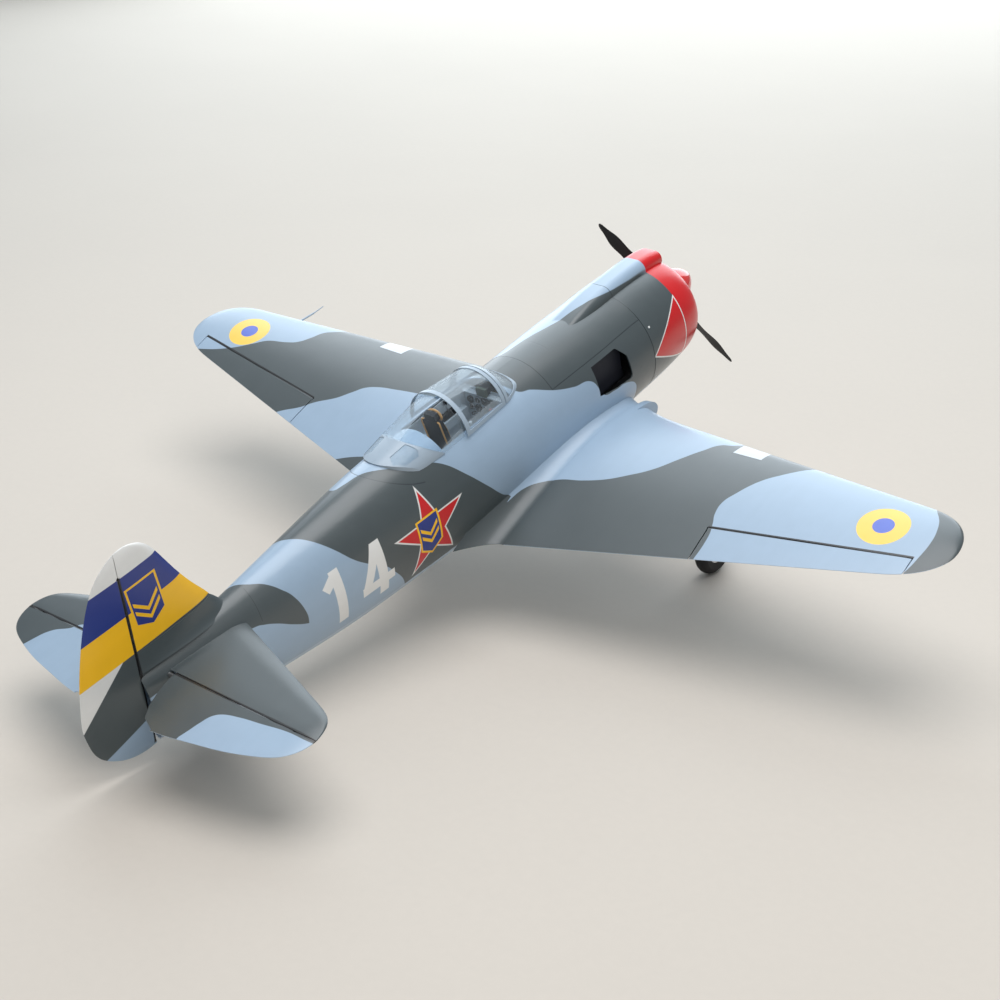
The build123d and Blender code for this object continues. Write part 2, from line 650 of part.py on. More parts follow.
def propeller():
    """Two-blade propeller with a flat hub; each blade twists and narrows to a rounded tip."""
    hub_y = SPINNER_LONG - 9
    hub = rod((0, hub_y - 8, 0), (0, SPINNER_LONG + 0.2, 0), 14)
    blades = [blade(hub_y), Rot(0, 180, 0) * blade(hub_y)]
    body = fuse(hub, *blades) - rod((0, 50, 0), (0, 120, 0), SHAFT_R + 0.05)
    return largest(turned(body))


def blade(hub_y):
    sections = []
    for radius, chord, depth, pitch in (
            (9, 17, 11, 40), (30, 22, 9, 38), (60, 30, 6.4, 31), (100, 33, 4.6, 22),
            (145, 28, 3.2, 16), (185, 20, 2.2, 12.5), (205, 12.5, 1.5, 11.5),
            (PROP_R - 2.5, 7.5, 1.1, 11), (PROP_R, 3.5, 0.8, 11)):
        turn = radians(pitch)
        chord_dir = Vector(0, sin(turn), -cos(turn))
        origin = Vector(radius, hub_y, 0) - chord_dir * (0.42 * chord)
        plane = Plane(origin=tuple(origin), x_dir=tuple(chord_dir), z_dir=(-1, 0, 0))
        sections.append(aerofoil(plane, chord, depth, camber=0.02, tail=0.5, steps=6))
    return loft(sections)


def prop_nut():
    nut = extrude(Plane(origin=(0, 58, 0), x_dir=(1, 0, 0), z_dir=(0, 1, 0)) * RegularPolygon(7.5, 6), 8.8)
    return nut - rod((0, 50, 0), (0, 80, 0), SHAFT_R + 0.02)


def motor_bell():
    """Turning half of the motor: shaft, end cap with windows and magnet ring."""
    ring = rod((0, MOTOR_FRONT_Y, 0), (0, MOTOR_REAR_Y - 10, 0), MOTOR_R)
    ring -= rod((0, MOTOR_FRONT_Y + 5, 0), (0, MOTOR_REAR_Y, 0), MOTOR_R - 4)
    for k in range(6):
        hole = rod((18, MOTOR_FRONT_Y - 1, 0), (18, MOTOR_FRONT_Y + 6, 0), 5.5)
        ring -= Rot(0, 60 * k, 0) * hole
    boss = rod((0, SPINNER_LONG + 3.2, 0), (0, MOTOR_FRONT_Y, 0), 9, 14)
    shaft = rod((0, 58.5, 0), (0, MOTOR_REAR_Y + 8, 0), SHAFT_R)
    return ring + boss + shaft


def motor_stator():
    core = rod((0, MOTOR_FRONT_Y + 8, 0), (0, MOTOR_REAR_Y, 0), MOTOR_R - 5)
    flange = rod((0, MOTOR_REAR_Y - 8, 0), (0, MOTOR_REAR_Y, 0), MOTOR_R - 2)
    for k in range(12):
        gap = slab(-1.4, 1.4, MOTOR_FRONT_Y + 7, MOTOR_REAR_Y - 12, 13, 30)
        core -= Rot(0, 30 * k, 0) * gap
    return core + flange - rod((0, MOTOR_FRONT_Y, 0), (0, MOTOR_REAR_Y + 9, 0), SHAFT_R + 0.06)


def motor_mount():
    """Cross-shaped plate on four pillars in front of the firewall."""
    thick = 4
    arm = slab(0, 44, MOTOR_REAR_Y, MOTOR_REAR_Y + thick, -9, 9)
    pillar = rod((36, MOTOR_REAR_Y + thick, 0), (36, FIREWALL_Y, 0), 5)
    plate = rod((0, MOTOR_REAR_Y, 0), (0, MOTOR_REAR_Y + thick, 0), 22)
    for k in range(4):
        turn = Rot(0, 45 + 90 * k, 0)
        plate += turn * arm
        plate += turn * pillar
    return plate - rod((0, 200, 0), (0, 300, 0), SHAFT_R + 2)


def battery():
    pack = slab(-34, 34, 345, 520, -60, 0)
    return fillet(pack.edges().filter_by(Axis.Y), 6)


def battery_tray():
    floor = slab(-52, 52, 329, 648, -66, -61)
    rails = [slab(s * 52, s * 46, 329, 648, -61, -46) for s in (1, -1)]
    return fuse(floor, *rails)


def speed_controller():
    case = slab(-24, 24, 545, 620, -60.8, -38)
    fins = [slab(-22 + 5 * k, -19.5 + 5 * k, 550, 615, -38, -32) for k in range(9)]
    return fuse(case, *fins)


# ---------------------------------------------------------------- main gear
def retract_unit():
    px, py, pz = GEAR_PIVOT
    body = slab(px - 10, px + 36, py - 14, py + 14, pz - 2, pz + 22)
    body -= slab(px - 12, px + 9, py - 10, py + 10, pz - 30, pz + 14)
    body += slab(px + 8, px + 36, py - 14, py + 14, pz - 2, pz + 22)
    pin = rod((px, py - 14, pz), (px, py + 14, pz), 3)
    return body + pin


def upper_leg():
    """Trunnion block and the oleo's outer cylinder."""
    px, py, pz = GEAR_PIVOT
    eye = rod((px, py - 9, pz), (px, py + 9, pz), 7)
    tube = rod(leg_point(3), leg_point(150), 7)
    collar = rod(leg_point(140), leg_point(150), 9)
    leg = fuse(eye, tube, collar) - rod((px, py - 10, pz), (px, py + 10, pz), 3.06)
    return leg - rod(leg_point(60), leg_point(152), 4.55)


def lower_leg():
    """Sliding oleo piston with the fork side and stub axle that carry the wheel."""
    wx, wy, wz = WHEEL_CENTRE
    bend = leg_point(188)
    piston = rod(leg_point(80), bend, 4.5)
    side_x = wx + WHEEL_W / 2 + 7
    top = (side_x, bend[1], bend[2] + 2)
    crown = rod(bend, top, 5)
    arm = rod(top, (side_x, wy, wz - 2), 4.5, 5)
    axle = rod((side_x, wy, wz), (wx - WHEEL_W / 2 - 3, wy, wz), 3)
    knob = rod((side_x + 5, wy, wz), (side_x - 5, wy, wz), 7)
    return fuse(piston, Pos(*bend) * Sphere(5.2), Pos(*top) * Sphere(5), crown, arm, axle, knob)


def gear_door():
    """Thin cover on the outboard side of the leg; it closes the slot when the leg is up."""
    px, py, pz = GEAR_PIVOT
    x = px + 15
    corners = [(437, -112), (502, -112), (500, -236), (486, -250), (446, -250), (435, -236)]
    plate = prism_yz(corners, x, x + 1.8)
    clamps = [slab(px + 5, x + 1, 470, 480, z - 5, z + 5) for z in (-140, -205)]
    plate = fuse(plate, *clamps) - rod(leg_point(3), leg_point(190), 7)
    tilt_centre = Pos(px, 0, pz)
    lean = degrees(atan2(WHEEL_CENTRE[0] - px, pz - WHEEL_CENTRE[2]))
    return tilt_centre * Rot(0, -lean, 0) * tilt_centre.inverse() * plate


def tyre(centre, radius, width, seat):
    """Round-shouldered balloon tyre around a hub."""
    cx, cy, cz = centre
    half = width / 2
    plane = Plane(origin=centre, x_dir=(0, 0, 1), z_dir=(0, 1, 0))
    crown = ThreePointArc((radius - half * 0.75, -half), (radius, 0), (radius - half * 0.75, half))
    face = make_face([Line((seat, -half * 0.8), (radius - half * 0.75, -half)), crown,
                      Line((radius - half * 0.75, half), (seat, half * 0.8)),
                      Line((seat, half * 0.8), (seat, -half * 0.8))])
    return revolve(plane * face, Axis(centre, (1, 0, 0)))


def hub(centre, seat, width, bore, holes=5):
    cx, cy, cz = centre
    half = width * 0.4
    body = rod((cx - half, cy, cz), (cx + half, cy, cz), seat)
    for side in (-1, 1):
        deep, face = cx + side * half * 0.45, cx + side * (half + 1)
        dish = rod((deep, cy, cz), (face, cy, cz), seat * 0.52, seat * 0.82)
        dish -= rod((cx - half - 2, cy, cz), (cx + half + 2, cy, cz), bore + 3)
        body -= dish
    for k in range(holes):
        turn = 2 * pi * k / holes
        y, z = cy + cos(turn) * seat * 0.42, cz + sin(turn) * seat * 0.42
        if seat > 20:
            body -= rod((cx - half, y, z), (cx + half, y, z), seat * 0.11)
    return body - rod((cx - half - 1, cy, cz), (cx + half + 1, cy, cz), bore + 0.06)


# ---------------------------------------------------------------- tail wheel
def tail_wheel_bracket():
    """Foot screwed under the tail, with a bearing tube for the steering stem."""
    y = TAIL_PIVOT_Y
    pad = slab(-9, 9, y - 36, y + 6, -97.5, -80) - hull(0.0)
    bearing = rod((0, y, -93.5), (0, y, -64), 5.5)
    return largest(pad + bearing - rod((0, y, -120), (0, y, -50), 2.56))


def tail_wheel_fork():
    cx, cy, cz = TAIL_WHEEL_CENTRE
    y = TAIL_PIVOT_Y
    stem = rod((0, y, -99.5), (0, y, -60), 2.5)
    collar = rod((0, y, -63.5), (0, y, -60), 4.5)
    side = TAIL_WHEEL_W / 2 + 1.5
    crown = slab(-side - 2.5, side + 2.5, y - 5, y + 4, -103, -99)
    arms = []
    for s in (1, -1):
        outline = [(y - 5, -99), (y + 4, -99), (cy + 4, cz + 3), (cy + 4, cz - 4), (cy - 4, cz - 5)]
        arms.append(prism_yz(outline, s * side, s * (side + 2.5)))
    axle = rod((-side - 2.5, cy, cz), (side + 2.5, cy, cz), 1.5)
    return fuse(crown, rod((0, y, -99.5), (0, y, -97.9), 4), stem, collar, *arms, axle)


# ---------------------------------------------------------------- cockpit
def arch(y, half_width, crown, inset=0.0, sill=SILL_Z):
    plane = Plane(origin=(0, y, sill), x_dir=(1, 0, 0), z_dir=(0, -1, 0))
    wide, high = half_width - inset, crown - sill - inset
    bow = EllipticalCenterArc((0, 0), wide, high, start_angle=0, arc_size=180)
    return plane * make_face([bow, Line((-wide, 0), (wide, 0))])


def canopy_skin(arches, thick=GLASS, proud=0.0):
    """Open-bottomed shell through the arches; proud moves it outwards by the glass thickness."""
    outer = loft([arch(y, w, c, -proud) for y, w, c in arches])
    (y0, w0, c0), (y1, w1, c1) = arches[0], arches[-1]
    inner_list = [(y0 - 0.01, w0, c0), *arches[1:-1], (y1 + 0.01, w1, c1)]
    inner = loft([arch(y, w, c, thick - proud, SILL_Z - 0.01) for y, w, c in inner_list])
    return outer - inner


def low_windscreen(arches):
    return [(y, w, max(c, SILL_Z + 4)) for y, w, c in arches]


def windscreen_parts():
    arches = low_windscreen(WINDSCREEN)
    body = hull()
    glass = canopy_skin(arches) - body
    strip = canopy_skin(arches, thick=2.4, proud=1.2) - canopy_skin(arches)
    rear = WINDSCREEN[-1][0]
    hoop = slab(-100, 100, rear - 9, rear, SILL_Z, 220)
    sills = slab(-100, 100, WINDSCREEN[0][0], rear, SILL_Z, SILL_Z + 8)
    foot = hull(-5.0, FRAMES[2:6])
    frame = strip & (hoop + sills + foot)
    return largest(glass), largest(frame - body)


def banded(arches, bands, sill_high):
    """Metal frame on both faces of a glazing: hoops at the bands and a sill rail."""
    strip = canopy_skin(arches, thick=2.4, proud=1.2) - canopy_skin(arches)
    first, last = arches[0][0], arches[-1][0]
    keep = slab(-100, 100, first, last, SILL_Z, SILL_Z + sill_high)
    for y0, y1 in bands:
        keep = keep + slab(-100, 100, y0, y1, SILL_Z, 220)
    return largest(strip & keep)


def hood_parts():
    front, rear = HOOD[0][0], HOOD[-1][0]
    return canopy_skin(HOOD), banded(HOOD, [(front, front + 9), (rear - 11, rear)], 9)


def rear_cutter():
    """Everything ahead of the raked frame behind the pilot."""
    return prism_yz([(700, 60), (858, 60), (1052, 220), (700, 220)], -120, 120)


def rear_parts():
    body = hull()
    clear = canopy_skin(REAR_GLASS) - body
    glass = largest(clear & rear_cutter())
    strip = canopy_skin(REAR_GLASS, thick=2.4, proud=1.2) - canopy_skin(REAR_GLASS)
    first = REAR_GLASS[0][0]
    rail = slab(-100, 100, first + 3, 975, SILL_Z, SILL_Z + 7)
    rail = strip & rail & rear_cutter()
    arches = ((915, 70.5, 171), (972, 66, 157), (1020, 60, 149), (1062, 52, 139))
    tail = loft([arch(y, w, c) for y, w, c in arches])
    rounded = Pos(0, 940, SILL_Z) * extrude(Ellipse(72, 104), 120)
    tail = tail & (rounded + slab(-120, 120, 900, 940, SILL_Z, SILL_Z + 120))
    cap = tail - rear_cutter() - body
    pane = prism_xy([(27, 974), (50, 966), (57, 973), (53, 1006), (37, 1026), (23, 1016)], 100, 200)
    windows = pane + mirror(pane, Plane.YZ)
    window_skin = cap - (Pos(0, 0, -1.5) * tail)
    panes = [s for s in (window_skin & windows).solids() if s.volume > 20]
    fairing = largest(cap - (window_skin & windows))
    return Compound(children=[glass, *panes]), fairing


def cockpit_tub():
    y0, y1 = COCKPIT_Y
    wall, half = 1.8, COCKPIT_HALF - 0.3
    outer = slab(-half, half, y0 + 0.3, y1 - 0.3, -8, SILL_Z - 2)
    tub = outer - slab(-half + wall, half - wall, y0 + 3, y1 - wall, -6, 200)
    consoles = [slab(s * (half - wall), s * (half - 17), y0 + 20, y1 - 50, 46, 66) for s in (1, -1)]
    return fuse(tub, *consoles, control_stick())


def instrument_panel():
    panel = slab(-58, 58, 706, 709, 42, 96)
    hood = slab(-58, 58, 703, 716, 96, 99)
    return panel + hood


def seat():
    """Bucket seat with a high armoured back and a head rest."""
    bucket = prism_yz([(795, 10), (849, 10), (871, 134), (861, 136), (838, 45), (806, 28)], -24, 24)
    hollow = prism_yz([(797, 15), (841, 15), (858, 137), (800, 137)], -20.5, 20.5)
    rest = prism_yz([(857, 126), (869.5, 125.5), (873, 150), (861, 152)], -14, 14)
    support = slab(-9, 9, 805, 835, -5.8, 12)
    return fuse(bucket - hollow, rest, support)


def control_stick():
    column = rod((0, 762, -5.9), (0, 765, 62), 2.6)
    boot = rod((0, 762, -5.9), (0, 762, 0), 9, 5)
    return fuse(column, Pos(0, 765, 64) * Sphere(5), boot)


# ---------------------------------------------------------------- assembly
def mirrored(shapes):
    return [mirror(s, about=Plane.YZ) for s in shapes]


def build():
    parts = {}
    wing = wing_solid()
    aileron, aileron_room, aileron_lugs, aileron_pins = aileron_parts(wing)
    flap, flap_rooms, flap_lugs, flap_pins = flap_parts(wing)
    lens = landing_light(wing)
    wells = gear_wells()
    px, py, pz = GEAR_PIVOT
    retract_room = slab(px - 12, px + 38, py - 16, py + 16, -200, pz + 24)
    tube_room = rod((0, 560, -88), (300.5, 560, -88), 11)
    servo_room = Pos(*linkage_point("servo")) * slab(-12, 15, -18, 28, -60, 9)
    rooms = [aileron_room, *flap_rooms, lens, *wells, retract_room, tube_room, servo_room]
    panel = wing_panel(wing, rooms, [*aileron_lugs, *flap_lugs])

    fin, rudder, rudder_room, tail_lugs, rudder_pins = fin_and_rudder()
    stabiliser, elevator, elevator_pins = tailplane_parts()
    pair = port_and_starboard
    belly = [mirror(w, about=Plane.YZ) for w in wells] + wells
    tubes = [tube_room, mirror(tube_room, about=Plane.YZ)]
    joiner_bore = rod((-60, ELEVATOR_Y, TAILPLANE_Z), (60, ELEVATOR_Y, TAILPLANE_Z), 4.1)
    stem_hole = rod((0, TAIL_PIVOT_Y, -110), (0, TAIL_PIVOT_Y, -56), 5.6)
    parts["fuselage_shell"] = fuselage_shell(belly + tubes, rudder_room, [joiner_bore, stem_hole])
    parts["cowling"] = cowling()
    parts["nose_hatch"] = nose_hatch()
    parts["plywood_frames"] = plywood_frames()
    parts["outlet_baffles"] = outlet_baffles()
    parts["fin"] = fin - joiner_bore
    parts["rudder"] = rudder
    parts["propeller"] = propeller()
    parts["spinner"] = spinner()
    parts["spinner_backplate"] = spinner_backplate()
    parts["prop_nut"] = prop_nut()
    parts["motor_bell"] = motor_bell()
    parts["motor_stator"] = motor_stator()
    parts["motor_mount"] = motor_mount()
    parts["battery"] = battery()
    parts["speed_controller"] = speed_controller()
    parts["wing_tube"] = wing_tube()
    parts["pitot_tube"] = pitot_tube() - wing
    parts["elevator_joiner"] = rod((-72, ELEVATOR_Y, TAILPLANE_Z), (72, ELEVATOR_Y, TAILPLANE_Z), 4.0)
    pins = [*aileron_pins, *flap_pins, *elevator_pins]
    parts["hinge_pins"] = Compound(children=[*pins, *mirrored(pins), *rudder_pins])
    parts["wing_servos"] = Compound(children=list(pair(servo_case()).values()))
    parts["retract_units"] = Compound(children=list(pair(retract_unit()).values()))
    parts["landing_lights"] = Compound(children=list(pair(lens).values()))

    wheel = WHEEL_CENTRE
    handed = {
        "wing": panel, "aileron": aileron, "flap": flap, "stabiliser": stabiliser, "elevator": elevator,
        "aileron_servo_arm": servo_arm(), "aileron_pushrod": pushrod(),
        "upper_leg": upper_leg(), "lower_leg": lower_leg(), "gear_door": gear_door(),
        "wheel_hub": hub(wheel, 31, WHEEL_W, 3), "tyre": tyre(wheel, WHEEL_R, WHEEL_W, 31.02),
    }
    for name, shape in handed.items():
        for side, half in pair(shape).items():
            parts[f"{name}_{side}"] = half

    parts["tail_wheel_bracket"] = tail_wheel_bracket()
    parts["tail_wheel_fork"] = tail_wheel_fork()
    parts["tail_wheel_hub"] = hub(TAIL_WHEEL_CENTRE, 12, TAIL_WHEEL_W, 1.5)
    parts["tail_wheel_tyre"] = tyre(TAIL_WHEEL_CENTRE, TAIL_WHEEL_R, TAIL_WHEEL_W, 12.02)
    parts["windscreen_glass"], parts["windscreen_frame"] = windscreen_parts()
    parts["hood_glass"], parts["hood_frame"] = hood_parts()
    parts["rear_glass"], parts["rear_fairing"] = rear_parts()
    parts["cockpit_tub"] = cockpit_tub()
    parts["instrument_panel"] = instrument_panel()
    parts["seat"] = seat()
    return parts


def stand(parts):
    """Tilt every piece nose up, then put the origin under the middle of the whole, on the ground."""
    tilted = {name: Rot(-STANCE_DEG, 0, 0) * shape for name, shape in parts.items()}
    boxes = [shape.bounding_box() for shape in tilted.values()]
    low_y, high_y = min(b.min.Y for b in boxes), max(b.max.Y for b in boxes)
    low_z = min(b.min.Z for b in boxes)
    shift = Pos(0, -(low_y + high_y) / 2, -low_z)
    print("shift after tilting:", round(-(low_y + high_y) / 2, 4), round(-low_z, 4))
    return {name: shift * shape for name, shape in tilted.items()}


os.makedirs("parts", exist_ok=True)
for node, piece in stand(build()).items():
    export_step(piece, f"parts/{node}.step")
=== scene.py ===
import math

import bmesh
import bpy
from mathutils import Matrix, Vector


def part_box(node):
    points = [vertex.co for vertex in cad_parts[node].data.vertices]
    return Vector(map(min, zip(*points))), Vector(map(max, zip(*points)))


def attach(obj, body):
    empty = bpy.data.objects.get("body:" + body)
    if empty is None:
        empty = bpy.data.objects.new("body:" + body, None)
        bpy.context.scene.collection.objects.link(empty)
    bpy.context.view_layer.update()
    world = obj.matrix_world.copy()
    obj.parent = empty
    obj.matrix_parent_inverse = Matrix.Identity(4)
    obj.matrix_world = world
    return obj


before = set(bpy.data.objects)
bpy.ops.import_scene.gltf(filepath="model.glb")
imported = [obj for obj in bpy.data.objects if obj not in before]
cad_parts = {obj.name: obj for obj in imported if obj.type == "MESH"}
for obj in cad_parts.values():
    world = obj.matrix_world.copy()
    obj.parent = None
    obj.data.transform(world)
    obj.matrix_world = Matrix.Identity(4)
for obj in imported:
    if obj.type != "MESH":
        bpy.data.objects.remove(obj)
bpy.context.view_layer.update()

# The pieces are described level: x to port, y aft from the spinner's tip, z up from the thrust line,
# in metres. LEVEL turns that into the row frame, where the aircraft stands nose up on its wheels.
STANCE = math.radians(14.6)
TUBE_Y, TUBE_Z = 0.560, -0.088          # the wing tube's axis, which ties the two frames together
turn = Matrix.Rotation(-STANCE, 4, "X")
low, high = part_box("wing_tube")
LEVEL = Matrix.Translation((low + high) / 2 - turn @ Vector((0, TUBE_Y, TUBE_Z))) @ turn


# ---------------------------------------------------------------- shader arithmetic
class Field:
    """A number that varies over a surface. Arithmetic on it adds Math nodes."""

    def __init__(self, tree, socket):
        self.tree, self.socket = tree, socket

    def math(self, kind, *others, clamp=False):
        node = self.tree.nodes.new("ShaderNodeMath")
        node.operation, node.use_clamp = kind, clamp
        for slot, value in zip(node.inputs, (self, *others)):
            if isinstance(value, Field):
                self.tree.links.new(value.socket, slot)
            else:
                slot.default_value = value
        return Field(self.tree, node.outputs[0])

    def __add__(self, other):
        return self.math("ADD", other)

    def __sub__(self, other):
        return self.math("SUBTRACT", other)

    def __rsub__(self, other):
        return (self * -1.0) + other

    def __mul__(self, other):
        return self.math("MULTIPLY", other)

    def __truediv__(self, other):
        return self.math("DIVIDE", other)

    __radd__, __rmul__ = __add__, __mul__

    def __neg__(self):
        return self * -1.0

    def abs(self):
        return self.math("ABSOLUTE")

    def min(self, other):
        return self.math("MINIMUM", other)

    def max(self, other):
        return self.math("MAXIMUM", other)

    def inside(self, soft=0.0009):
        """1 where the field is positive, 0 where it is negative, with a soft step between."""
        return self.math("MULTIPLY_ADD", 1.0 / soft, 0.5, clamp=True)

    def either(self, other):
        return self.max(other)

    def but_not(self, other):
        return self * (1.0 - other)

    def near(self, width):
        """1 on the line where the field is zero, falling to 0 at that half width."""
        return (1.0 - self.abs() / width).max(0.0)

    def curve(self, points):
        """A smooth curve through (position, value) points, read at this field."""
        xs, ys = [p[0] for p in points], [p[1] for p in points]
        x0, x1, y0, y1 = min(xs), max(xs), min(ys), max(ys)
        span = max(y1 - y0, 1e-6)
        node = self.tree.nodes.new("ShaderNodeFloatCurve")
        node.mapping.extend = "HORIZONTAL"
        line = node.mapping.curves[0]
        while len(line.points) > 2:
            line.points.remove(line.points[0])
        for point, (x, y) in zip(line.points, (points[0], points[-1])):
            point.location = ((x - x0) / (x1 - x0), (y - y0) / span)
        for x, y in points[1:-1]:
            line.points.new((x - x0) / (x1 - x0), (y - y0) / span)
        node.mapping.update()
        share = (self - x0) / (x1 - x0)
        self.tree.links.new(share.socket, node.inputs["Value"])
        return Field(self.tree, node.outputs[0]) * span + y0


class Surface:
    """A material under construction: where a point is, and helpers for noise and colour."""

    def __init__(self, name):
        self.material = bpy.data.materials.new(name)
        self.material.use_nodes = True
        self.tree = self.material.node_tree
        self.shader = self.tree.nodes["Principled BSDF"]
        coords = self.tree.nodes.new("ShaderNodeTexCoord")
        self.point = coords.outputs["Object"]
        self.normal_socket = coords.outputs["Normal"]
        level = self.tree.nodes.new("ShaderNodeMapping")
        level.vector_type = "POINT"
        back = LEVEL.inverted()
        level.inputs["Location"].default_value = back.translation
        level.inputs["Rotation"].default_value = back.to_euler()
        self.tree.links.new(self.point, level.inputs["Vector"])
        self.level = level.outputs[0]
        split = self.tree.nodes.new("ShaderNodeSeparateXYZ")
        self.tree.links.new(self.level, split.inputs[0])
        self.x, self.y, self.z = (Field(self.tree, s) for s in split.outputs)
        facing = self.tree.nodes.new("ShaderNodeSeparateXYZ")
        self.tree.links.new(self.normal_socket, facing.inputs[0])
        self.nx, self.ny, self.nz = (Field(self.tree, s) for s in facing.outputs)

    def noise(self, scale, detail=3.0, stretch=None, roughness=0.5):
        node = self.tree.nodes.new("ShaderNodeTexNoise")
        node.inputs["Scale"].default_value = scale
        node.inputs["Detail"].default_value = detail
        node.inputs["Roughness"].default_value = roughness
        source = self.level
        if stretch:
            squeeze = self.tree.nodes.new("ShaderNodeMapping")
            squeeze.inputs["Scale"].default_value = stretch
            self.tree.links.new(source, squeeze.inputs["Vector"])
            source = squeeze.outputs[0]
        self.tree.links.new(source, node.inputs["Vector"])
        return Field(self.tree, node.outputs["Fac"])

    def mix(self, share, a, b):
        """Colour a where share is 0 and colour b where it is 1."""
        node = self.tree.nodes.new("ShaderNodeMix")
        node.data_type = "RGBA"
        pins = (("Factor_Float", share), ("A_Color", a), ("B_Color", b))
        for pin, value in pins:
            slot = next(s for s in node.inputs if s.identifier == pin)
            if isinstance(value, Field):
                self.tree.links.new(value.socket, slot)
            elif isinstance(value, (int, float)):
                slot.default_value = value
            elif isinstance(value, (tuple, list)):
                slot.default_value = (*value[:3], 1.0)
            else:
                self.tree.links.new(value, slot)
        return next(s for s in node.outputs if s.identifier == "Result_Color")

    def shade(self, colour, amount):
        """A colour made darker or brighter by a field around 0."""
        node = self.tree.nodes.new("ShaderNodeHueSaturation")
        if isinstance(colour, (tuple, list)):
            node.inputs["Color"].default_value = (*colour[:3], 1.0)
        else:
            self.tree.links.new(colour, node.inputs["Color"])
        self.tree.links.new((amount + 1.0).socket, node.inputs["Value"])
        return node.outputs[0]

    def finish(self, colour, roughness, height=None, strength=0.3, distance=0.001, **constants):
        """Connect colour, roughness and bump, and set what is the same all over."""
        if isinstance(colour, (tuple, list)):
            self.shader.inputs["Base Color"].default_value = (*colour[:3], 1.0)
        else:
            self.tree.links.new(colour, self.shader.inputs["Base Color"])
        self.tree.links.new(roughness.socket, self.shader.inputs["Roughness"])
        if height is not None:
            bump = self.tree.nodes.new("ShaderNodeBump")
            bump.inputs["Strength"].default_value = strength
            bump.inputs["Distance"].default_value = distance
            self.tree.links.new(height.socket, bump.inputs["Height"])
            self.tree.links.new(bump.outputs[0], self.shader.inputs["Normal"])
        for name, value in constants.items():
            self.shader.inputs[name.replace("_", " ")].default_value = value
        return self.material


# ---------------------------------------------------------------- colours
BLUE = (0.314, 0.424, 0.548)
GREY = (0.063, 0.079, 0.084)
BELLY = (0.46, 0.57, 0.70)
RED = (0.62, 0.005, 0.007)
WHITE = (0.80, 0.80, 0.78)
YELLOW = (1.0, 0.55, 0.001)
PALE_YELLOW = (0.90, 0.58, 0.075)
NAVY = (0.007, 0.027, 0.22)
ROYAL = (0.075, 0.13, 0.55)
BLACK = (0.012, 0.012, 0.014)
# Near-black painted shade for the shadowed hinge gaps.
GAP_SHADE_BLACK = (0.006, 0.006, 0.007)


def length(u, v):
    return (u * u + v * v).math("SQRT")


def stroke(u, v, start, end, width):
    """A straight bar with square ends, as a field that is positive inside."""
    (ax, ay), (bx, by) = start, end
    reach = math.hypot(bx - ax, by - ay)
    dx, dy = (bx - ax) / reach, (by - ay) / reach
    along = (u - ax) * dx + (v - ay) * dy
    across = (v - ay) * dx - (u - ax) * dy
    return (width / 2 - across.abs()).min(reach / 2 - (along - reach / 2).abs())


def star(u, v, radius):
    """Five-pointed star with one tip up; positive inside."""
    tip = math.pi / 5
    angle = u.math("ARCTAN2", v)
    folded = ((angle + tip).math("FLOORED_MODULO", 2 * tip) - tip).abs()
    far = length(u, v)
    rim = radius * math.sin(tip / 2)
    return rim - far * (folded + tip / 2).math("SINE")


def shield(u, v, half, top, side, point):
    """Shield with straight sides down to side and a shallow point at point; positive inside."""
    slope = (side - point) / half
    foot = (v - point - u.abs() * slope) * (1.0 / math.hypot(1.0, slope))
    return (half - u.abs()).min(top - v).min(foot)


def painted(s, colour, seams=None, gloss=0.40):
    """Satin film and paint: slight fading, dust, fine orange peel and engraved seams."""
    fading = s.noise(2.3, 4.0) - 0.5
    dust = s.noise(31.0, 5.0) - 0.5
    streak = s.noise(9.0, 4.0, stretch=(6.0, 0.8, 6.0)) - 0.5
    colour = s.shade(colour, fading * 0.16 + dust * 0.07 + streak * 0.06)
    peel = s.noise(900.0, 2.0)
    height = peel * 0.10
    if seams is not None:
        colour = s.mix(seams * 0.85, colour, (0.022, 0.028, 0.034))
        height = height - seams
    rough = dust * 0.16 + fading * 0.10 + gloss
    return s.finish(colour, rough, height, 0.35, 0.0006, Specular_IOR_Level=0.5, Coat_Weight=0.55,
                    Coat_Roughness=0.26)


# ---------------------------------------------------------------- wing paint
ROUNDEL_Y, ROUNDEL_X, ROUNDEL_R, ROUNDEL_EYE = 0.599, 0.845, 0.050, 0.0207
LAMP_X, LAMP_SEAM_Y, LAMP_HALF = 0.483, 0.507, 0.036
SERVO_X, SERVO_Y = 0.700, 0.617
# How far the band of painted gap shade reaches ahead of and behind each hinge line.
GAP_SHADE_FORE, GAP_SHADE_AFT = 0.0058, 0.0005
AILERON_HINGE = ((0.531, 0.717), (0.937, 0.656))
ELEVATOR_HINGE = ((0.036, 1.626), (0.380, 1.626))
RUDDER_HINGE = ((-0.050, 1.690), (0.296, 1.6523))


def hinge_gap_shade(s, along, across, start, end):
    """A band of painted shade, standing for the shadowed gap, ahead of a hinge line that runs between two
    (along, across) points.
    """
    (a0, b0), (a1, b1) = start, end
    line = (along - a0) * ((b1 - b0) / (a1 - a0)) + b0
    between = ((along - min(a0, a1)).min(-along + max(a0, a1))).inside()
    return (line - across + GAP_SHADE_AFT).min(across - line + GAP_SHADE_FORE).inside() * between


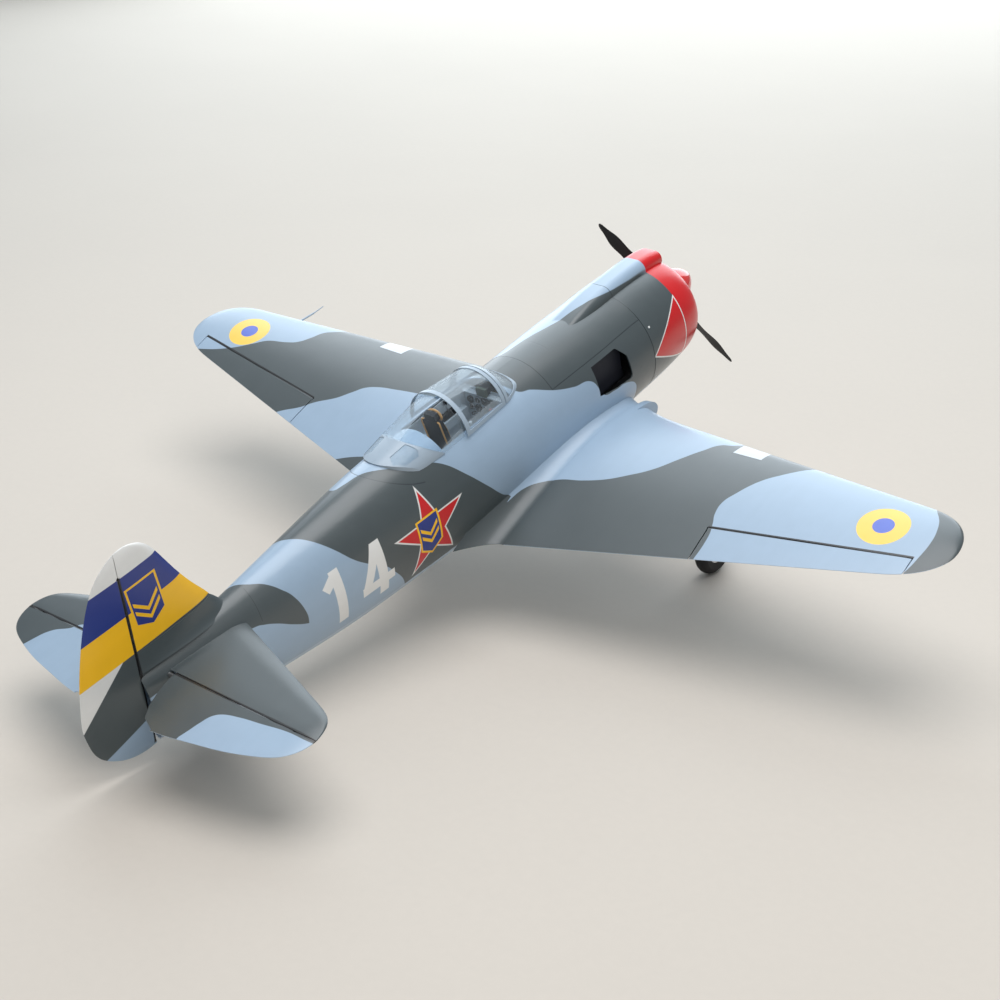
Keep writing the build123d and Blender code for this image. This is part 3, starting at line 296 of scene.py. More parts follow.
def wing_paint(side):
    s = Surface(f"wing_paint_{side}")
    out = s.x.abs()
    if side == "right":
        root = out.curve([(0.13, 0.735), (0.151, 0.712), (0.213, 0.692), (0.256, 0.674), (0.293, 0.649),
                          (0.332, 0.616), (0.363, 0.572), (0.391, 0.524), (0.411, 0.487), (0.436, 0.473),
                          (0.46, 0.40)])
        inner = s.y.curve([(0.44, 0.67), (0.493, 0.618), (0.532, 0.587), (0.572, 0.556), (0.616, 0.534),
                           (0.653, 0.521), (0.679, 0.524), (0.705, 0.535), (0.733, 0.544), (0.80, 0.546)])
        tip = s.y.curve([(0.45, 0.88), (0.505, 0.903), (0.577, 0.942), (0.611, 0.947), (0.653, 0.944),
                         (0.686, 0.938), (0.72, 0.925)])
        blue = (root - s.y).inside().either((out - inner).inside() * (tip - out).inside())
    else:
        outer = s.y.curve([(0.44, 0.615), (0.498, 0.653), (0.518, 0.674), (0.554, 0.686), (0.581, 0.704),
                           (0.594, 0.730), (0.608, 0.775), (0.630, 0.802), (0.657, 0.836), (0.679, 0.876),
                           (0.691, 0.909), (0.71, 0.99)])
        front = out.curve([(0.13, 0.590), (0.25, 0.600), (0.326, 0.611), (0.362, 0.618), (0.407, 0.628),
                           (0.434, 0.641), (0.453, 0.663), (0.480, 0.695), (0.520, 0.725), (0.544, 0.749),
                           (0.584, 0.776), (0.64, 0.83)])
        rear = out.curve([(0.13, 0.745), (0.25, 0.79), (0.354, 0.835), (0.42, 0.90)])
        blue = (out - outer).inside().either((s.y - front).inside() * (rear - s.y).inside())
    colour = s.mix(blue, GREY, BLUE)
    far = length(s.y - ROUNDEL_Y, out - ROUNDEL_X)
    colour = s.mix((ROUNDEL_R - far).inside(), colour, PALE_YELLOW)
    colour = s.mix((ROUNDEL_EYE - far).inside(), colour, ROYAL)
    under = (-s.nz - 0.12).inside(0.02)
    colour = s.mix(under, colour, BELLY)
    lamp = (s.y - LAMP_SEAM_Y).near(0.0011) * (LAMP_HALF - (out - LAMP_X).abs()).inside()
    servo_u, servo_v = (out - SERVO_X).abs(), (s.y - SERVO_Y).abs()
    hatch = (servo_u - 0.034).max(servo_v - 0.040).near(0.0011) * under
    # Painted shade along the aileron hinge gap.
    colour = s.mix(hinge_gap_shade(s, out, s.y, *AILERON_HINGE), colour, GAP_SHADE_BLACK)
    return painted(s, colour, lamp.either(hatch))


# ---------------------------------------------------------------- fuselage paint
STAR_Y, STAR_Z, STAR_R = 1.0186, -0.0026, 0.0995
DIGITS_Y, DIGIT_TOP, DIGIT_FOOT, BAR = 1.212, 0.059, -0.062, 0.0225
CHEVRON_SLOPE, CHEVRON_STEP = 0.85, 4.2         # the step is in border widths


def around(points):
    """Curve points whose positions are given in degrees around the fuselage."""
    return [(math.radians(a), v) for a, v in points]


def fuselage_camouflage(s):
    star_side = -s.x
    angle = star_side.math("ARCTAN2", s.z)
    cockpit_aft = angle.curve(around([
        (-180, 0.74), (-140, 0.76), (-115, 0.81), (-90, 0.87), (-60, 0.96), (-35, 1.06), (-20, 1.125),
        (-8, 1.136), (-4, 1.12), (0, 1.081), (10, 1.045), (20, 1.010), (31, 0.955), (41, 0.929), (60, 0.899),
        (90, 0.855), (111, 0.822), (125, 0.79), (180, 0.74)]))
    fillet_aft = s.x.abs().curve([(0.106, 0.835), (0.108, 0.822), (0.116, 0.765), (0.134, 0.726),
                                  (0.151, 0.712)])
    on_fillet = (-s.z - 0.040).inside() * (s.x.abs() - 0.1085).inside()
    aft_edge = cockpit_aft + (fillet_aft - cockpit_aft) * on_fillet
    side_top = s.y.curve([(0.30, -0.30), (0.368, -0.15), (0.377, -0.060), (0.383, -0.034), (0.412, -0.013),
                          (0.456, -0.007), (0.490, 0.002), (0.508, 0.042), (0.558, 0.057), (0.600, 0.072),
                          (0.652, 0.098), (0.684, 0.111), (0.72, 0.20)])
    cockpit = (side_top - s.z).inside() * (aft_edge - s.y).inside()
    rear_front = angle.curve(around([
        (-180, 1.30), (-90, 1.35), (-40, 1.32), (-5, 1.290), (10, 1.268), (23, 1.249), (38, 1.229),
        (55, 1.209), (72, 1.183), (91, 1.147), (111, 1.124), (133, 1.101), (180, 1.07)]))
    tail_front = angle.curve(around([
        (-180, 1.50), (-90, 1.48), (-50, 1.47), (-20, 1.445), (-5, 1.425), (6, 1.409), (16, 1.386),
        (30, 1.365), (45, 1.350), (69, 1.340), (89, 1.338), (110, 1.345), (180, 1.38)]))
    tail_foot = s.y.curve([(1.33, -0.012), (1.342, -0.007), (1.371, 0.011), (1.404, 0.035), (1.428, 0.048),
                           (1.445, 0.054), (1.49, 0.058), (1.70, 0.050)])
    tail = (s.y - tail_front).inside() * (s.z - tail_foot).inside()
    rear = (s.y - rear_front).inside().but_not(tail)
    strip = s.y.curve([(0.11, -0.034), (0.194, -0.032), (0.264, -0.031), (0.322, -0.027), (0.371, -0.015),
                       (0.416, 0.0), (0.477, 0.014), (0.534, 0.029), (0.592, 0.038), (0.609, 0.056),
                       (0.64, 0.090)])
    strip_foot = s.y.curve([(0.18, 0.01), (0.26, -0.015), (0.36, 0.02), (0.46, 0.045), (0.56, 0.04),
                            (0.64, 0.09)])
    port_strip = (s.x - strip).inside() * (s.z - strip_foot).inside() * (0.64 - s.y).inside()
    belly_line = s.y.curve([(0.18, -0.096), (0.30, -0.113), (0.60, -0.135), (0.95, -0.122), (1.20, -0.100),
                            (1.45, -0.070), (1.70, -0.030)])
    belly = (belly_line - s.z).inside().either((-s.nz - 0.55).inside(0.02) * (-s.z - 0.06).inside())
    blue = cockpit.either(rear).either(port_strip)
    return s.mix(belly, s.mix(blue, GREY, BLUE), BELLY)


def side_star(s, colour):
    u, v = s.y - STAR_Y, s.z - STAR_Z
    body = star(u, v, STAR_R)
    flank = (s.x.abs() - 0.055).inside()
    colour = s.mix(body.inside() * flank, colour, WHITE)
    colour = s.mix((body - 0.0032).inside() * flank, colour, RED)
    badge = shield(s.y - 1.0235, s.z, 0.030, 0.036, -0.034, -0.055)
    return crest(s, colour, badge, s.y - 1.0235, s.z + 0.006, 0.0042, flank)


def crest(s, colour, badge, u, v, border, where=1.0):
    """Plain two-colour shield with two chevrons."""
    colour = s.mix(badge.inside() * where, colour, YELLOW)
    colour = s.mix((badge - border).inside() * where, colour, NAVY)
    within = (badge - border * 1.8).inside()
    arm = v - u.abs() * CHEVRON_SLOPE
    upper = (arm.abs() * -1.0 + border).inside() * within
    lower = ((arm + border * CHEVRON_STEP).abs() * -1.0 + border).inside() * within
    return s.mix(upper.either(lower) * where, colour, YELLOW)


def side_digits(s, colour):
    """Two plain numerals on each flank, drawn with straight bars, that read the right way round."""
    hand = s.x.math("SIGN")
    u, v = (s.y - DIGITS_Y) * hand, s.z * 1.0
    foot, top = DIGIT_FOOT, DIGIT_TOP
    bars = [((-0.046, foot), (-0.046, top)), ((-0.075, 0.028), (-0.040, top - 0.006)),
            ((0.058, foot), (0.058, top)), ((0.013, -0.030), (0.056, top - 0.004)),
            ((0.004, -0.030), (0.086, -0.030))]
    drawn = None
    for start, end in bars:
        bar = stroke(u, v, start, end, BAR if start[0] == end[0] else BAR * 0.9)
        drawn = bar if drawn is None else drawn.max(bar)
    keep = (v - foot).min(top - v)
    flank = (s.x.abs() - 0.03).inside()
    return s.mix(drawn.min(keep).inside() * flank, colour, WHITE)


def cover_seams(s):
    """Lines around the nose hatch and behind the cowling."""
    hatch_rear = (s.y - 0.609).near(0.0015) * (s.z - 0.077).inside()
    sill = (s.z - 0.077).near(0.0013) * (0.609 - s.y).inside() * (s.y - 0.310).inside()
    cowl = (s.y - 0.310).near(0.0015)
    return hatch_rear.either(sill).either(cowl)


def fuselage_paint():
    s = Surface("fuselage_paint")
    colour = side_digits(s, side_star(s, fuselage_camouflage(s)))
    angle = (-s.x).math("ARCTAN2", s.z)
    tail_seam = (s.y - 1.418 - angle.abs() * 0.012).near(0.0010) * (angle.abs() - 0.12).inside() \
        * (0.75 - angle.abs()).inside()
    spine_seam = (length((s.y - 0.952) * 0.62, s.x) - 0.0815).near(0.0010) * (s.y - 0.99).inside()
    return painted(s, colour, tail_seam.either(spine_seam).either(cover_seams(s)))


# ---------------------------------------------------------------- nose paint
RING_Y, COWL_R = 0.185, 0.122


def nose_paint():
    s = Surface("nose_paint")
    colour = fuselage_camouflage(s)
    flank = (s.x.abs()).math("ARCTAN2", s.z)
    drop = (flank - math.pi / 2) * COWL_R
    top, foot, aft = (0.176, -0.082), (0.196, 0.0735), (0.312, 0.0085)
    above = stroke_side(s.y, drop, top, aft)
    below = stroke_side(s.y, drop, aft, foot)
    front = s.y - (RING_Y - 0.001)
    flash = above.min(below).min(front)
    ring = (RING_Y - s.y).inside()
    colour = s.mix(ring, colour, RED)
    colour = s.mix(flash.inside(), colour, WHITE)
    colour = s.mix((flash - 0.0030).inside(), colour, RED)
    fixing = (s.y - 0.541).near(0.0010) * (0.030 - (s.x + 0.006).abs()).inside()
    return painted(s, colour, fixing.either(cover_seams(s)), gloss=0.36)


def stroke_side(u, v, start, end):
    """Distance to the left of a line, for the edges of the nose flash."""
    (ax, ay), (bx, by) = start, end
    reach = math.hypot(bx - ax, by - ay)
    return (v - ay) * ((bx - ax) / reach) - (u - ax) * ((by - ay) / reach)


# ---------------------------------------------------------------- tail paint
def fin_paint(name):
    s = Surface(name)
    dark_edge = stroke_side(s.y, s.z, (1.698, 0.142), (1.809, 0.069))
    low_edge = stroke_side(s.y, s.z, (1.698, 0.006), (1.786, -0.012))
    colour = s.mix((s.z - 0.144).inside(), GREY, YELLOW)
    colour = s.mix((s.z - 0.2205).inside(), colour, NAVY)
    colour = s.mix((s.z - 0.294).inside(), colour, WHITE)
    if name == "rudder_paint":
        corner = dark_edge.inside() * (0.144 - s.z).inside()
        colour = s.mix(corner, colour, WHITE)
        colour = s.mix((-low_edge).inside(), colour, BLUE)
    badge = shield(s.y - 1.6125, s.z, 0.0355, 0.267, 0.187, 0.169)
    colour = crest(s, colour, badge, s.y - 1.6125, s.z - 0.206, 0.0042)
    # Painted shade along the rudder hinge gap, on both fin and rudder.
    colour = s.mix(hinge_gap_shade(s, s.z, s.y, *RUDDER_HINGE), colour, GAP_SHADE_BLACK)
    return painted(s, colour, gloss=0.36)


def tailplane_paint(side):
    s = Surface(f"tailplane_paint_{side}")
    out = s.x.abs()
    if side == "right":
        patch = out.curve([(0.150, 1.760), (0.163, 1.712), (0.168, 1.69), (0.176, 1.668), (0.189, 1.657),
                           (0.224, 1.647), (0.275, 1.639), (0.317, 1.632), (0.373, 1.629), (0.40, 1.62)])
        blue = (s.y - patch).inside() * (out - 0.158).inside()
    else:
        patch = out.curve([(0.0, 1.60), (0.20, 1.600), (0.233, 1.616), (0.244, 1.631), (0.271, 1.651),
                           (0.292, 1.691), (0.31, 1.76)])
        blue = (s.y - patch).inside()
    colour = s.mix(blue, GREY, BLUE)
    colour = s.mix((-s.nz - 0.12).inside(0.02), colour, BELLY)
    # Painted shade along the elevator hinge gap.
    colour = s.mix(hinge_gap_shade(s, out, s.y, *ELEVATOR_HINGE), colour, GAP_SHADE_BLACK)
    return painted(s, colour)


# ---------------------------------------------------------------- other finishes
def plain_paint(name, colour, gloss=0.38, wear=0.16):
    s = Surface(name)
    patches = s.noise(14.0, 4.0) - 0.5
    fine = s.noise(120.0, 4.0) - 0.5
    tone = s.shade(colour, patches * wear + fine * wear * 0.6)
    return s.finish(tone, patches * 0.12 + fine * 0.14 + gloss, s.noise(700.0, 2.0), 0.12, 0.0004,
                    Specular_IOR_Level=0.5)


def metal(name, colour, gloss=0.30, brushed=(1.0, 1.0, 30.0)):
    s = Surface(name)
    grain = s.noise(160.0, 5.0, stretch=brushed) - 0.5
    stain = s.noise(24.0, 4.0) - 0.5
    tone = s.shade(colour, grain * 0.22 + stain * 0.18)
    return s.finish(tone, grain * 0.20 + stain * 0.12 + gloss, grain, 0.10, 0.0003, Metallic=1.0)


def plywood():
    s = Surface("birch_plywood")
    grain = s.noise(26.0, 6.0, stretch=(1.0, 9.0, 9.0))
    ply = ((s.y * 2200.0).math("SINE") * 0.5 + 0.5) * 0.25
    tone = s.mix(grain.math("MULTIPLY_ADD", 1.6, -0.35, clamp=True), (0.62, 0.42, 0.22), (0.36, 0.21, 0.10))
    tone = s.shade(tone, -ply)
    tone = s.mix((0.46 - s.y).inside(0.004), tone, (0.012, 0.012, 0.014))
    return s.finish(tone, grain * 0.3 + 0.45, grain, 0.25, 0.0004)


def rubber(name, rib):
    s = Surface(name)
    grit = s.noise(420.0, 4.0) - 0.5
    dirt = s.noise(18.0, 4.0)
    dusty = dirt.math("MULTIPLY_ADD", 1.4, -0.45, clamp=True)
    tone = s.mix(dusty, (0.016, 0.016, 0.017), (0.055, 0.050, 0.045))
    tread = ((s.x.abs() * rib).math("SINE") * 0.5 + 0.5)
    return s.finish(tone, dirt * 0.22 + 0.62, grit * 0.5 + tread, 0.30, 0.0006, Specular_IOR_Level=0.35)


def windings():
    s = Surface("copper_windings")
    turns = (s.y * 5200.0).math("SINE") * 0.5 + 0.5
    tone = s.mix(turns, (0.22, 0.065, 0.022), (0.62, 0.23, 0.085))
    return s.finish(tone, turns * -0.15 + 0.42, turns, 0.6, 0.0005, Metallic=0.7)


def battery_wrap():
    s = Surface("battery_wrap")
    bands = ((s.y - 0.432).abs() - 0.045).inside()
    tone = s.mix(bands, (0.020, 0.060, 0.20), (0.014, 0.014, 0.016))
    crease = s.noise(60.0, 5.0, stretch=(1.0, 4.0, 1.0))
    return s.finish(s.shade(tone, crease * 0.3 - 0.15), crease * 0.2 + 0.22, crease, 0.25, 0.0008)


def clear_plastic(name, tint=(0.93, 0.96, 0.98)):
    """Thin moulded canopy: lets light through, with Fresnel gloss and a slight ripple."""
    s = Surface(name)
    tree = s.tree
    ripple = s.noise(26.0, 3.0)
    bump = tree.nodes.new("ShaderNodeBump")
    bump.inputs["Strength"].default_value = 0.10
    bump.inputs["Distance"].default_value = 0.002
    tree.links.new(ripple.socket, bump.inputs["Height"])
    see = tree.nodes.new("ShaderNodeBsdfTransparent")
    see.inputs["Color"].default_value = (*tint, 1.0)
    gloss = s.shader
    gloss.inputs["Base Color"].default_value = (0.80, 0.86, 0.90, 1.0)
    gloss.inputs["Roughness"].default_value = 0.06
    tree.links.new(bump.outputs[0], gloss.inputs["Normal"])
    rim = tree.nodes.new("ShaderNodeLayerWeight")
    rim.inputs["Blend"].default_value = 0.30
    haze = s.noise(8.0, 4.0)
    share = Field(tree, rim.outputs["Fresnel"]) * 0.32 + haze * 0.02
    blend = tree.nodes.new("ShaderNodeMixShader")
    tree.links.new(share.math("MAXIMUM", 0.0, clamp=True).socket, blend.inputs[0])
    tree.links.new(see.outputs[0], blend.inputs[1])
    tree.links.new(gloss.outputs[0], blend.inputs[2])
    out = tree.nodes["Material Output"]
    tree.links.new(blend.outputs[0], out.inputs["Surface"])
    return s.material


def leather(name, colour):
    s = Surface(name)
    node = s.tree.nodes.new("ShaderNodeTexVoronoi")
    node.feature = "DISTANCE_TO_EDGE"
    node.inputs["Scale"].default_value = 520.0
    s.tree.links.new(s.level, node.inputs["Vector"])
    grain = Field(s.tree, node.outputs["Distance"])
    wear = s.noise(22.0, 4.0)
    worn = wear.math("MULTIPLY_ADD", 1.2, -0.3, clamp=True)
    tone = s.mix(worn, colour, tuple(c * 1.9 + 0.01 for c in colour))
    return s.finish(tone, wear * 0.2 + 0.42, grain.min(0.2) * 5.0, 0.35, 0.0004)


def webbing(name, colour):
    s = Surface(name)
    across = (s.x * 9000.0).math("SINE") * (s.y * 5200.0 + s.z * 5200.0).math("SINE")
    tone = s.shade(colour, across * 0.14 + (s.noise(60.0, 4.0) - 0.5) * 0.3)
    return s.finish(tone, across * 0.06 + 0.72, across, 0.4, 0.0003)


def dial_face():
    """Black instrument face with generic tick marks, drawn around each piece's own middle."""
    s = Surface("dial_face")
    split = s.tree.nodes.new("ShaderNodeSeparateXYZ")
    uv = s.tree.nodes.new("ShaderNodeUVMap")
    s.tree.links.new(uv.outputs[0], split.inputs[0])
    u, v = (Field(s.tree, o) - 0.5 for o in split.outputs[:2])
    far = length(u, v)
    angle = u.math("ARCTAN2", v)
    tick = (angle * 12.0).math("COSINE")
    marks = (tick - 0.90).inside(0.02) * (far - 0.34).inside(0.02) * (0.44 - far).inside(0.02)
    lume = s.mix(marks, (0.018, 0.018, 0.020), (0.80, 0.82, 0.76))
    smudge = s.noise(300.0, 4.0)
    return s.finish(lume, smudge * 0.1 + 0.26, marks, 0.2, 0.0002)


wing_left, wing_right = wing_paint("left"), wing_paint("right")
hull = fuselage_paint()
nose = nose_paint()
fin, rudder = fin_paint("fin_paint"), fin_paint("rudder_paint")
stab_left, stab_right = tailplane_paint("left"), tailplane_paint("right")
canopy_frame = plain_paint("canopy_frame_paint", (0.35, 0.43, 0.51), gloss=0.30, wear=0.10)
cockpit_grey = plain_paint("cockpit_paint", (0.50, 0.56, 0.61), gloss=0.48, wear=0.30)
spinner_red = plain_paint("spinner_gloss", (0.66, 0.020, 0.018), gloss=0.16, wear=0.08)
spinner_red.node_tree.nodes["Principled BSDF"].inputs["Coat Weight"].default_value = 0.6
black = plain_paint("black_plastic", BLACK, gloss=0.48, wear=0.5)
baffle = plain_paint("baffle_black", (0.010, 0.011, 0.018), gloss=0.60, wear=0.5)
prop_black = plain_paint("propeller_black", (0.004, 0.004, 0.005), gloss=0.44, wear=0.5)
alloy = metal("machined_alloy", (0.62, 0.63, 0.65))
steel = metal("plain_steel", (0.48, 0.48, 0.49), gloss=0.34)
dark_metal = metal("black_oxide", (0.060, 0.060, 0.065), gloss=0.42)
wood = plywood()
copper = windings()
wrap = battery_wrap()
glazing = clear_plastic("canopy_glazing")
tyre_black, tail_tyre = rubber("tyre_rubber", 1100.0), rubber("tail_tyre_rubber", 1700.0)
gear_grey = plain_paint("gear_leg_paint", (0.33, 0.37, 0.40), gloss=0.40, wear=0.25)
servo_case = plain_paint("servo_case_black", (0.022, 0.024, 0.028), gloss=0.40, wear=0.4)
dark_leather = leather("dark_leather", (0.022, 0.017, 0.016))
tan_leather = leather("tan_leather", (0.66, 0.34, 0.11))
tan_web = webbing("tan_webbing", (0.55, 0.34, 0.17))
pad_green = plain_paint("pad_green", (0.060, 0.080, 0.050), gloss=0.60, wear=0.4)
knob_red = plain_paint("knob_red", (0.50, 0.030, 0.028), gloss=0.30, wear=0.2)
white_screw = plain_paint("screw_head_white", (0.78, 0.79, 0.78), gloss=0.35, wear=0.15)
face_black = dial_face()
sight_clear = clear_plastic("sight_lens", (0.97, 0.98, 0.99))
lamp_white = plain_paint("frosted_lamp_lens", (0.58, 0.63, 0.67), gloss=0.16, wear=0.08)

FINISHES = {
    "fuselage_shell": hull, "plywood_frames": wood, "cowling": nose, "nose_hatch": nose,
    "outlet_baffles": baffle, "fin": fin, "rudder": rudder, "propeller": prop_black,
    "spinner": spinner_red, "spinner_backplate": alloy, "prop_nut": steel, "motor_bell": dark_metal,
    "motor_stator": copper, "motor_mount": alloy, "battery": wrap, "speed_controller": alloy,
    "wing_tube": alloy, "pitot_tube": canopy_frame, "elevator_joiner": steel, "hinge_pins": steel,
    "wing_servos": servo_case, "retract_units": dark_metal, "landing_lights": lamp_white,
    "wing_left": wing_left, "wing_right": wing_right, "aileron_left": wing_left,
    "aileron_right": wing_right, "flap_left": wing_left, "flap_right": wing_right,
    "stabiliser_left": stab_left, "stabiliser_right": stab_right, "elevator_left": stab_left,
    "elevator_right": stab_right, "tail_wheel_bracket": dark_metal, "tail_wheel_fork": alloy,
    "tail_wheel_hub": alloy, "tail_wheel_tyre": tail_tyre, "windscreen_glass": glazing,
    "windscreen_frame": canopy_frame, "hood_glass": glazing, "hood_frame": canopy_frame,
    "rear_glass": glazing, "rear_fairing": canopy_frame, "cockpit_tub": cockpit_grey,
    "instrument_panel": cockpit_grey, "seat": dark_metal,
}
for side in ("left", "right"):
    FINISHES[f"aileron_servo_arm_{side}"] = black
    FINISHES[f"aileron_pushrod_{side}"] = steel
    FINISHES[f"upper_leg_{side}"] = gear_grey
    FINISHES[f"lower_leg_{side}"] = steel
    FINISHES[f"gear_door_{side}"] = gear_grey
    FINISHES[f"wheel_hub_{side}"] = alloy
    FINISHES[f"tyre_{side}"] = tyre_black
for name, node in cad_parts.items():
    node.data.materials.clear()
    node.data.materials.append(FINISHES[name])


# ---------------------------------------------------------------- piece builders
def piece(name, mesh_builder, material, body, place=Matrix(), smooth=True, bevel=0.0):
    """Build a mesh in its own frame, set it in the level frame by place, and let it ride on a body."""
    mesh = bpy.data.meshes.new(name)
    form = bmesh.new()
    mesh_builder(form)
    if bevel:
        sharp = [e for e in form.edges if e.is_manifold and e.calc_face_angle(0.0) > 0.6]
        bmesh.ops.bevel(form, geom=sharp, offset=bevel, segments=2, affect="EDGES", profile=0.6)
    bmesh.ops.recalc_face_normals(form, faces=form.faces)
    bmesh.ops.transform(form, matrix=LEVEL @ place, verts=form.verts)
    form.to_mesh(mesh)
    form.free()
    mesh.materials.append(material)
    if smooth:
        mesh.shade_smooth()
        mesh.set_sharp_from_angle(angle=math.radians(38))
    thing = bpy.data.objects.new(name, mesh)
    bpy.context.scene.collection.objects.link(thing)
    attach(thing, body)
    return thing


def lathe(profile, steps=40):
    """Turn (radius, height) points about the local z axis."""
    def build(form):
        rings = []
        for radius, height in profile:
            if radius < 1e-7:
                rings.append([form.verts.new((0, 0, height))])
                continue
            rings.append([form.verts.new((radius * math.cos(2 * math.pi * k / steps),
                                          radius * math.sin(2 * math.pi * k / steps), height))
                          for k in range(steps)])
        for a, b in zip(rings, rings[1:]):
            for k in range(steps):
                corners = [a[k % len(a)], a[(k + 1) % len(a)], b[(k + 1) % len(b)], b[k % len(b)]]
                unique = list(dict.fromkeys(corners))
                if len(unique) > 2:
                    form.faces.new(unique)
    return build


def block(size, centre=(0, 0, 0)):
    def build(form):
        made = bmesh.ops.create_cube(form, size=1.0)["verts"]
        bmesh.ops.scale(form, vec=size, verts=made)
        bmesh.ops.translate(form, vec=centre, verts=made)
    return build


def ribbon(points, widths, thick, across):
    """A flat strap that follows a line of points, with its width along across."""
    def build(form):
        side = Vector(across).normalized()
        spots = [Vector(p) for p in points]
        rows = []
        for k, spot in enumerate(spots):
            ahead = spots[min(k + 1, len(spots) - 1)] - spots[max(k - 1, 0)]
            up = side.cross(ahead).normalized() * thick / 2
            half = side * widths / 2
            rows.append([form.verts.new(spot + half * a + up * b)
                         for a, b in ((-1, -1), (1, -1), (1, 1), (-1, 1))])
        for a, b in zip(rows, rows[1:]):
            for k in range(4):
                form.faces.new((a[k], a[(k + 1) % 4], b[(k + 1) % 4], b[k]))
        form.faces.new(rows[0])
        form.faces.new(rows[-1][::-1])
    return build


def at(x, y, z, tilt=(0, 0, 0)):
    place = Matrix.Translation((x, y, z))
    for angle, axis in zip(tilt[::-1], "ZYX"):
        place = place @ Matrix.Rotation(angle, 4, axis)
    return place


# ---------------------------------------------------------------- cockpit
FACING_AFT = (-math.pi / 2, 0, 0)      # a turned piece's top towards the pilot
PANEL_Y = 0.709
DIALS = [(-0.040, 0.081, 0.0085), (-0.019, 0.083, 0.0085), (0.002, 0.083, 0.0085), (0.022, 0.081, 0.0085),
         (-0.041, 0.061, 0.0075), (-0.021, 0.062, 0.0090), (0.002, 0.062, 0.0090), (0.023, 0.061, 0.0075),
         (0.042, 0.078, 0.0070), (0.042, 0.061, 0.0065)]


def disc_with_map(radius):
    def build(form):
        layer = form.loops.layers.uv.new("UVMap")
        angles = [2 * math.pi * k / 32 for k in range(32)]
        spots = [form.verts.new((radius * math.cos(a), radius * math.sin(a), 0.0009)) for a in angles]
        middle = form.verts.new((0, 0, 0.0008))
        for k in range(32):
            face = form.faces.new((middle, spots[k], spots[(k + 1) % 32]))
            for loop in face.loops:
                loop[layer].uv = (loop.vert.co.x / radius / 2 + 0.5, loop.vert.co.y / radius / 2 + 0.5)
    return build


def dials():
    for k, (x, z, radius) in enumerate(DIALS):
        spot = at(x, PANEL_Y, z, FACING_AFT)
        bezel = [(radius - 0.0012, 0.0004), (radius - 0.0010, 0.0030), (radius - 0.0002, 0.0036),
                 (radius + 0.0010, 0.0034), (radius + 0.0016, 0.0022), (radius + 0.0016, 0.0002)]
        piece(f"dial_bezel_{k}", lathe(bezel), alloy if k % 3 == 0 else black, "airframe", spot)
        piece(f"dial_face_{k}", disc_with_map(radius - 0.0008), face_black, "airframe", spot)
        angle = 0.9 + 1.7 * k
        needle = ribbon([(0, 0, 0.0016), (0, radius * 0.35, 0.0016), (0, radius * 0.72, 0.0016)],
                        0.0010, 0.0005, (1, 0, 0))
        piece(f"dial_needle_{k}", needle, white_screw, "airframe", spot @ Matrix.Rotation(angle, 4, "Z"))


def knobs():
    knob = [(0, 0.0095), (0.0030, 0.0093), (0.0041, 0.0080), (0.0038, 0.0060), (0.0026, 0.0040),
            (0.0022, 0.0002)]
    places = ((-0.006, 0.0478, knob_red), (0.036, 0.048, black), (-0.034, 0.048, black))
    for k, (x, z, finish) in enumerate(places):
        piece(f"panel_knob_{k}", lathe(knob, 24), finish, "airframe", at(x, PANEL_Y, z, FACING_AFT))
    lever = [(0, 0.013), (0.0012, 0.0126), (0.0014, 0.011), (0.0008, 0.007), (0.0008, 0.002),
             (0.0022, 0.0018), (0.0022, 0.0002)]
    for k in range(5):
        piece(f"panel_switch_{k}", lathe(lever, 16), alloy, "airframe",
              at(0.008 + 0.006 * k, PANEL_Y, 0.0475, (-1.25, 0, 0)))


def gunsight():
    piece("sight_body", block((0.022, 0.026, 0.016), (0, 0.700, 0.109)), black, "airframe", bevel=0.0022)
    piece("sight_pad", block((0.026, 0.008, 0.020), (0, 0.7165, 0.110)), pad_green, "airframe", bevel=0.003)
    piece("sight_glass", block((0.018, 0.0008, 0.020), (0, 0, 0.010)), sight_clear, "airframe",
          at(0, 0.698, 0.118, (-0.6, 0, 0)))
    for s in (-1, 1):
        rail = [(s * 0.0105, 0.692, 0.116), (s * 0.0105, 0.694, 0.124), (s * 0.0105, 0.700, 0.131)]
        piece(f"sight_post_{'port' if s > 0 else 'starboard'}", ribbon(rail, 0.0020, 0.0016, (1, 0, 0)),
              alloy, "airframe")


def consoles():
    piece("lever_box", block((0.013, 0.030, 0.018), (-0.052, 0.752, 0.0755)), black, "airframe", bevel=0.0025)
    for k, y in enumerate((0.745, 0.757)):
        shaft = [(-0.052, y, 0.084), (-0.052, y - 0.003, 0.094), (-0.0515, y - 0.004, 0.101)]
        piece(f"lever_{k}", ribbon(shaft, 0.0022, 0.0016, (1, 0, 0)), alloy, "airframe")
        grip = [(0, 0.0040), (0.0022, 0.0034), (0.0030, 0.0012), (0.0022, -0.0014), (0.0010, -0.0022)]
        piece(f"lever_knob_{k}", lathe(grip, 20), knob_red if k else black, "airframe",
              at(-0.0515, y - 0.0042, 0.102))
    piece("throttle_quadrant", block((0.010, 0.038, 0.014), (0.053, 0.770, 0.0735)), black, "airframe",
          bevel=0.002)
    shaft = [(0.053, 0.768, 0.080), (0.052, 0.772, 0.092), (0.051, 0.774, 0.102)]
    piece("throttle_lever", ribbon(shaft, 0.0028, 0.0018, (1, 0, 0)), alloy, "airframe")
    grip = [(0, 0.006), (0.0034, 0.005), (0.0044, 0.001), (0.0036, -0.003), (0.0014, -0.004)]
    piece("throttle_grip", lathe(grip, 24), black, "airframe", at(0.051, 0.7745, 0.104))
    for s in (-1, 1):
        for k in range(4):
            cap = [(0, 0.0016), (0.0012, 0.0014), (0.0016, 0.0006), (0.0016, -0.0002)]
            piece(f"console_screw_{'port' if s > 0 else 'starboard'}_{k}", lathe(cap, 12), alloy, "airframe",
                  at(s * 0.057, 0.730 + 0.040 * k, 0.0661))


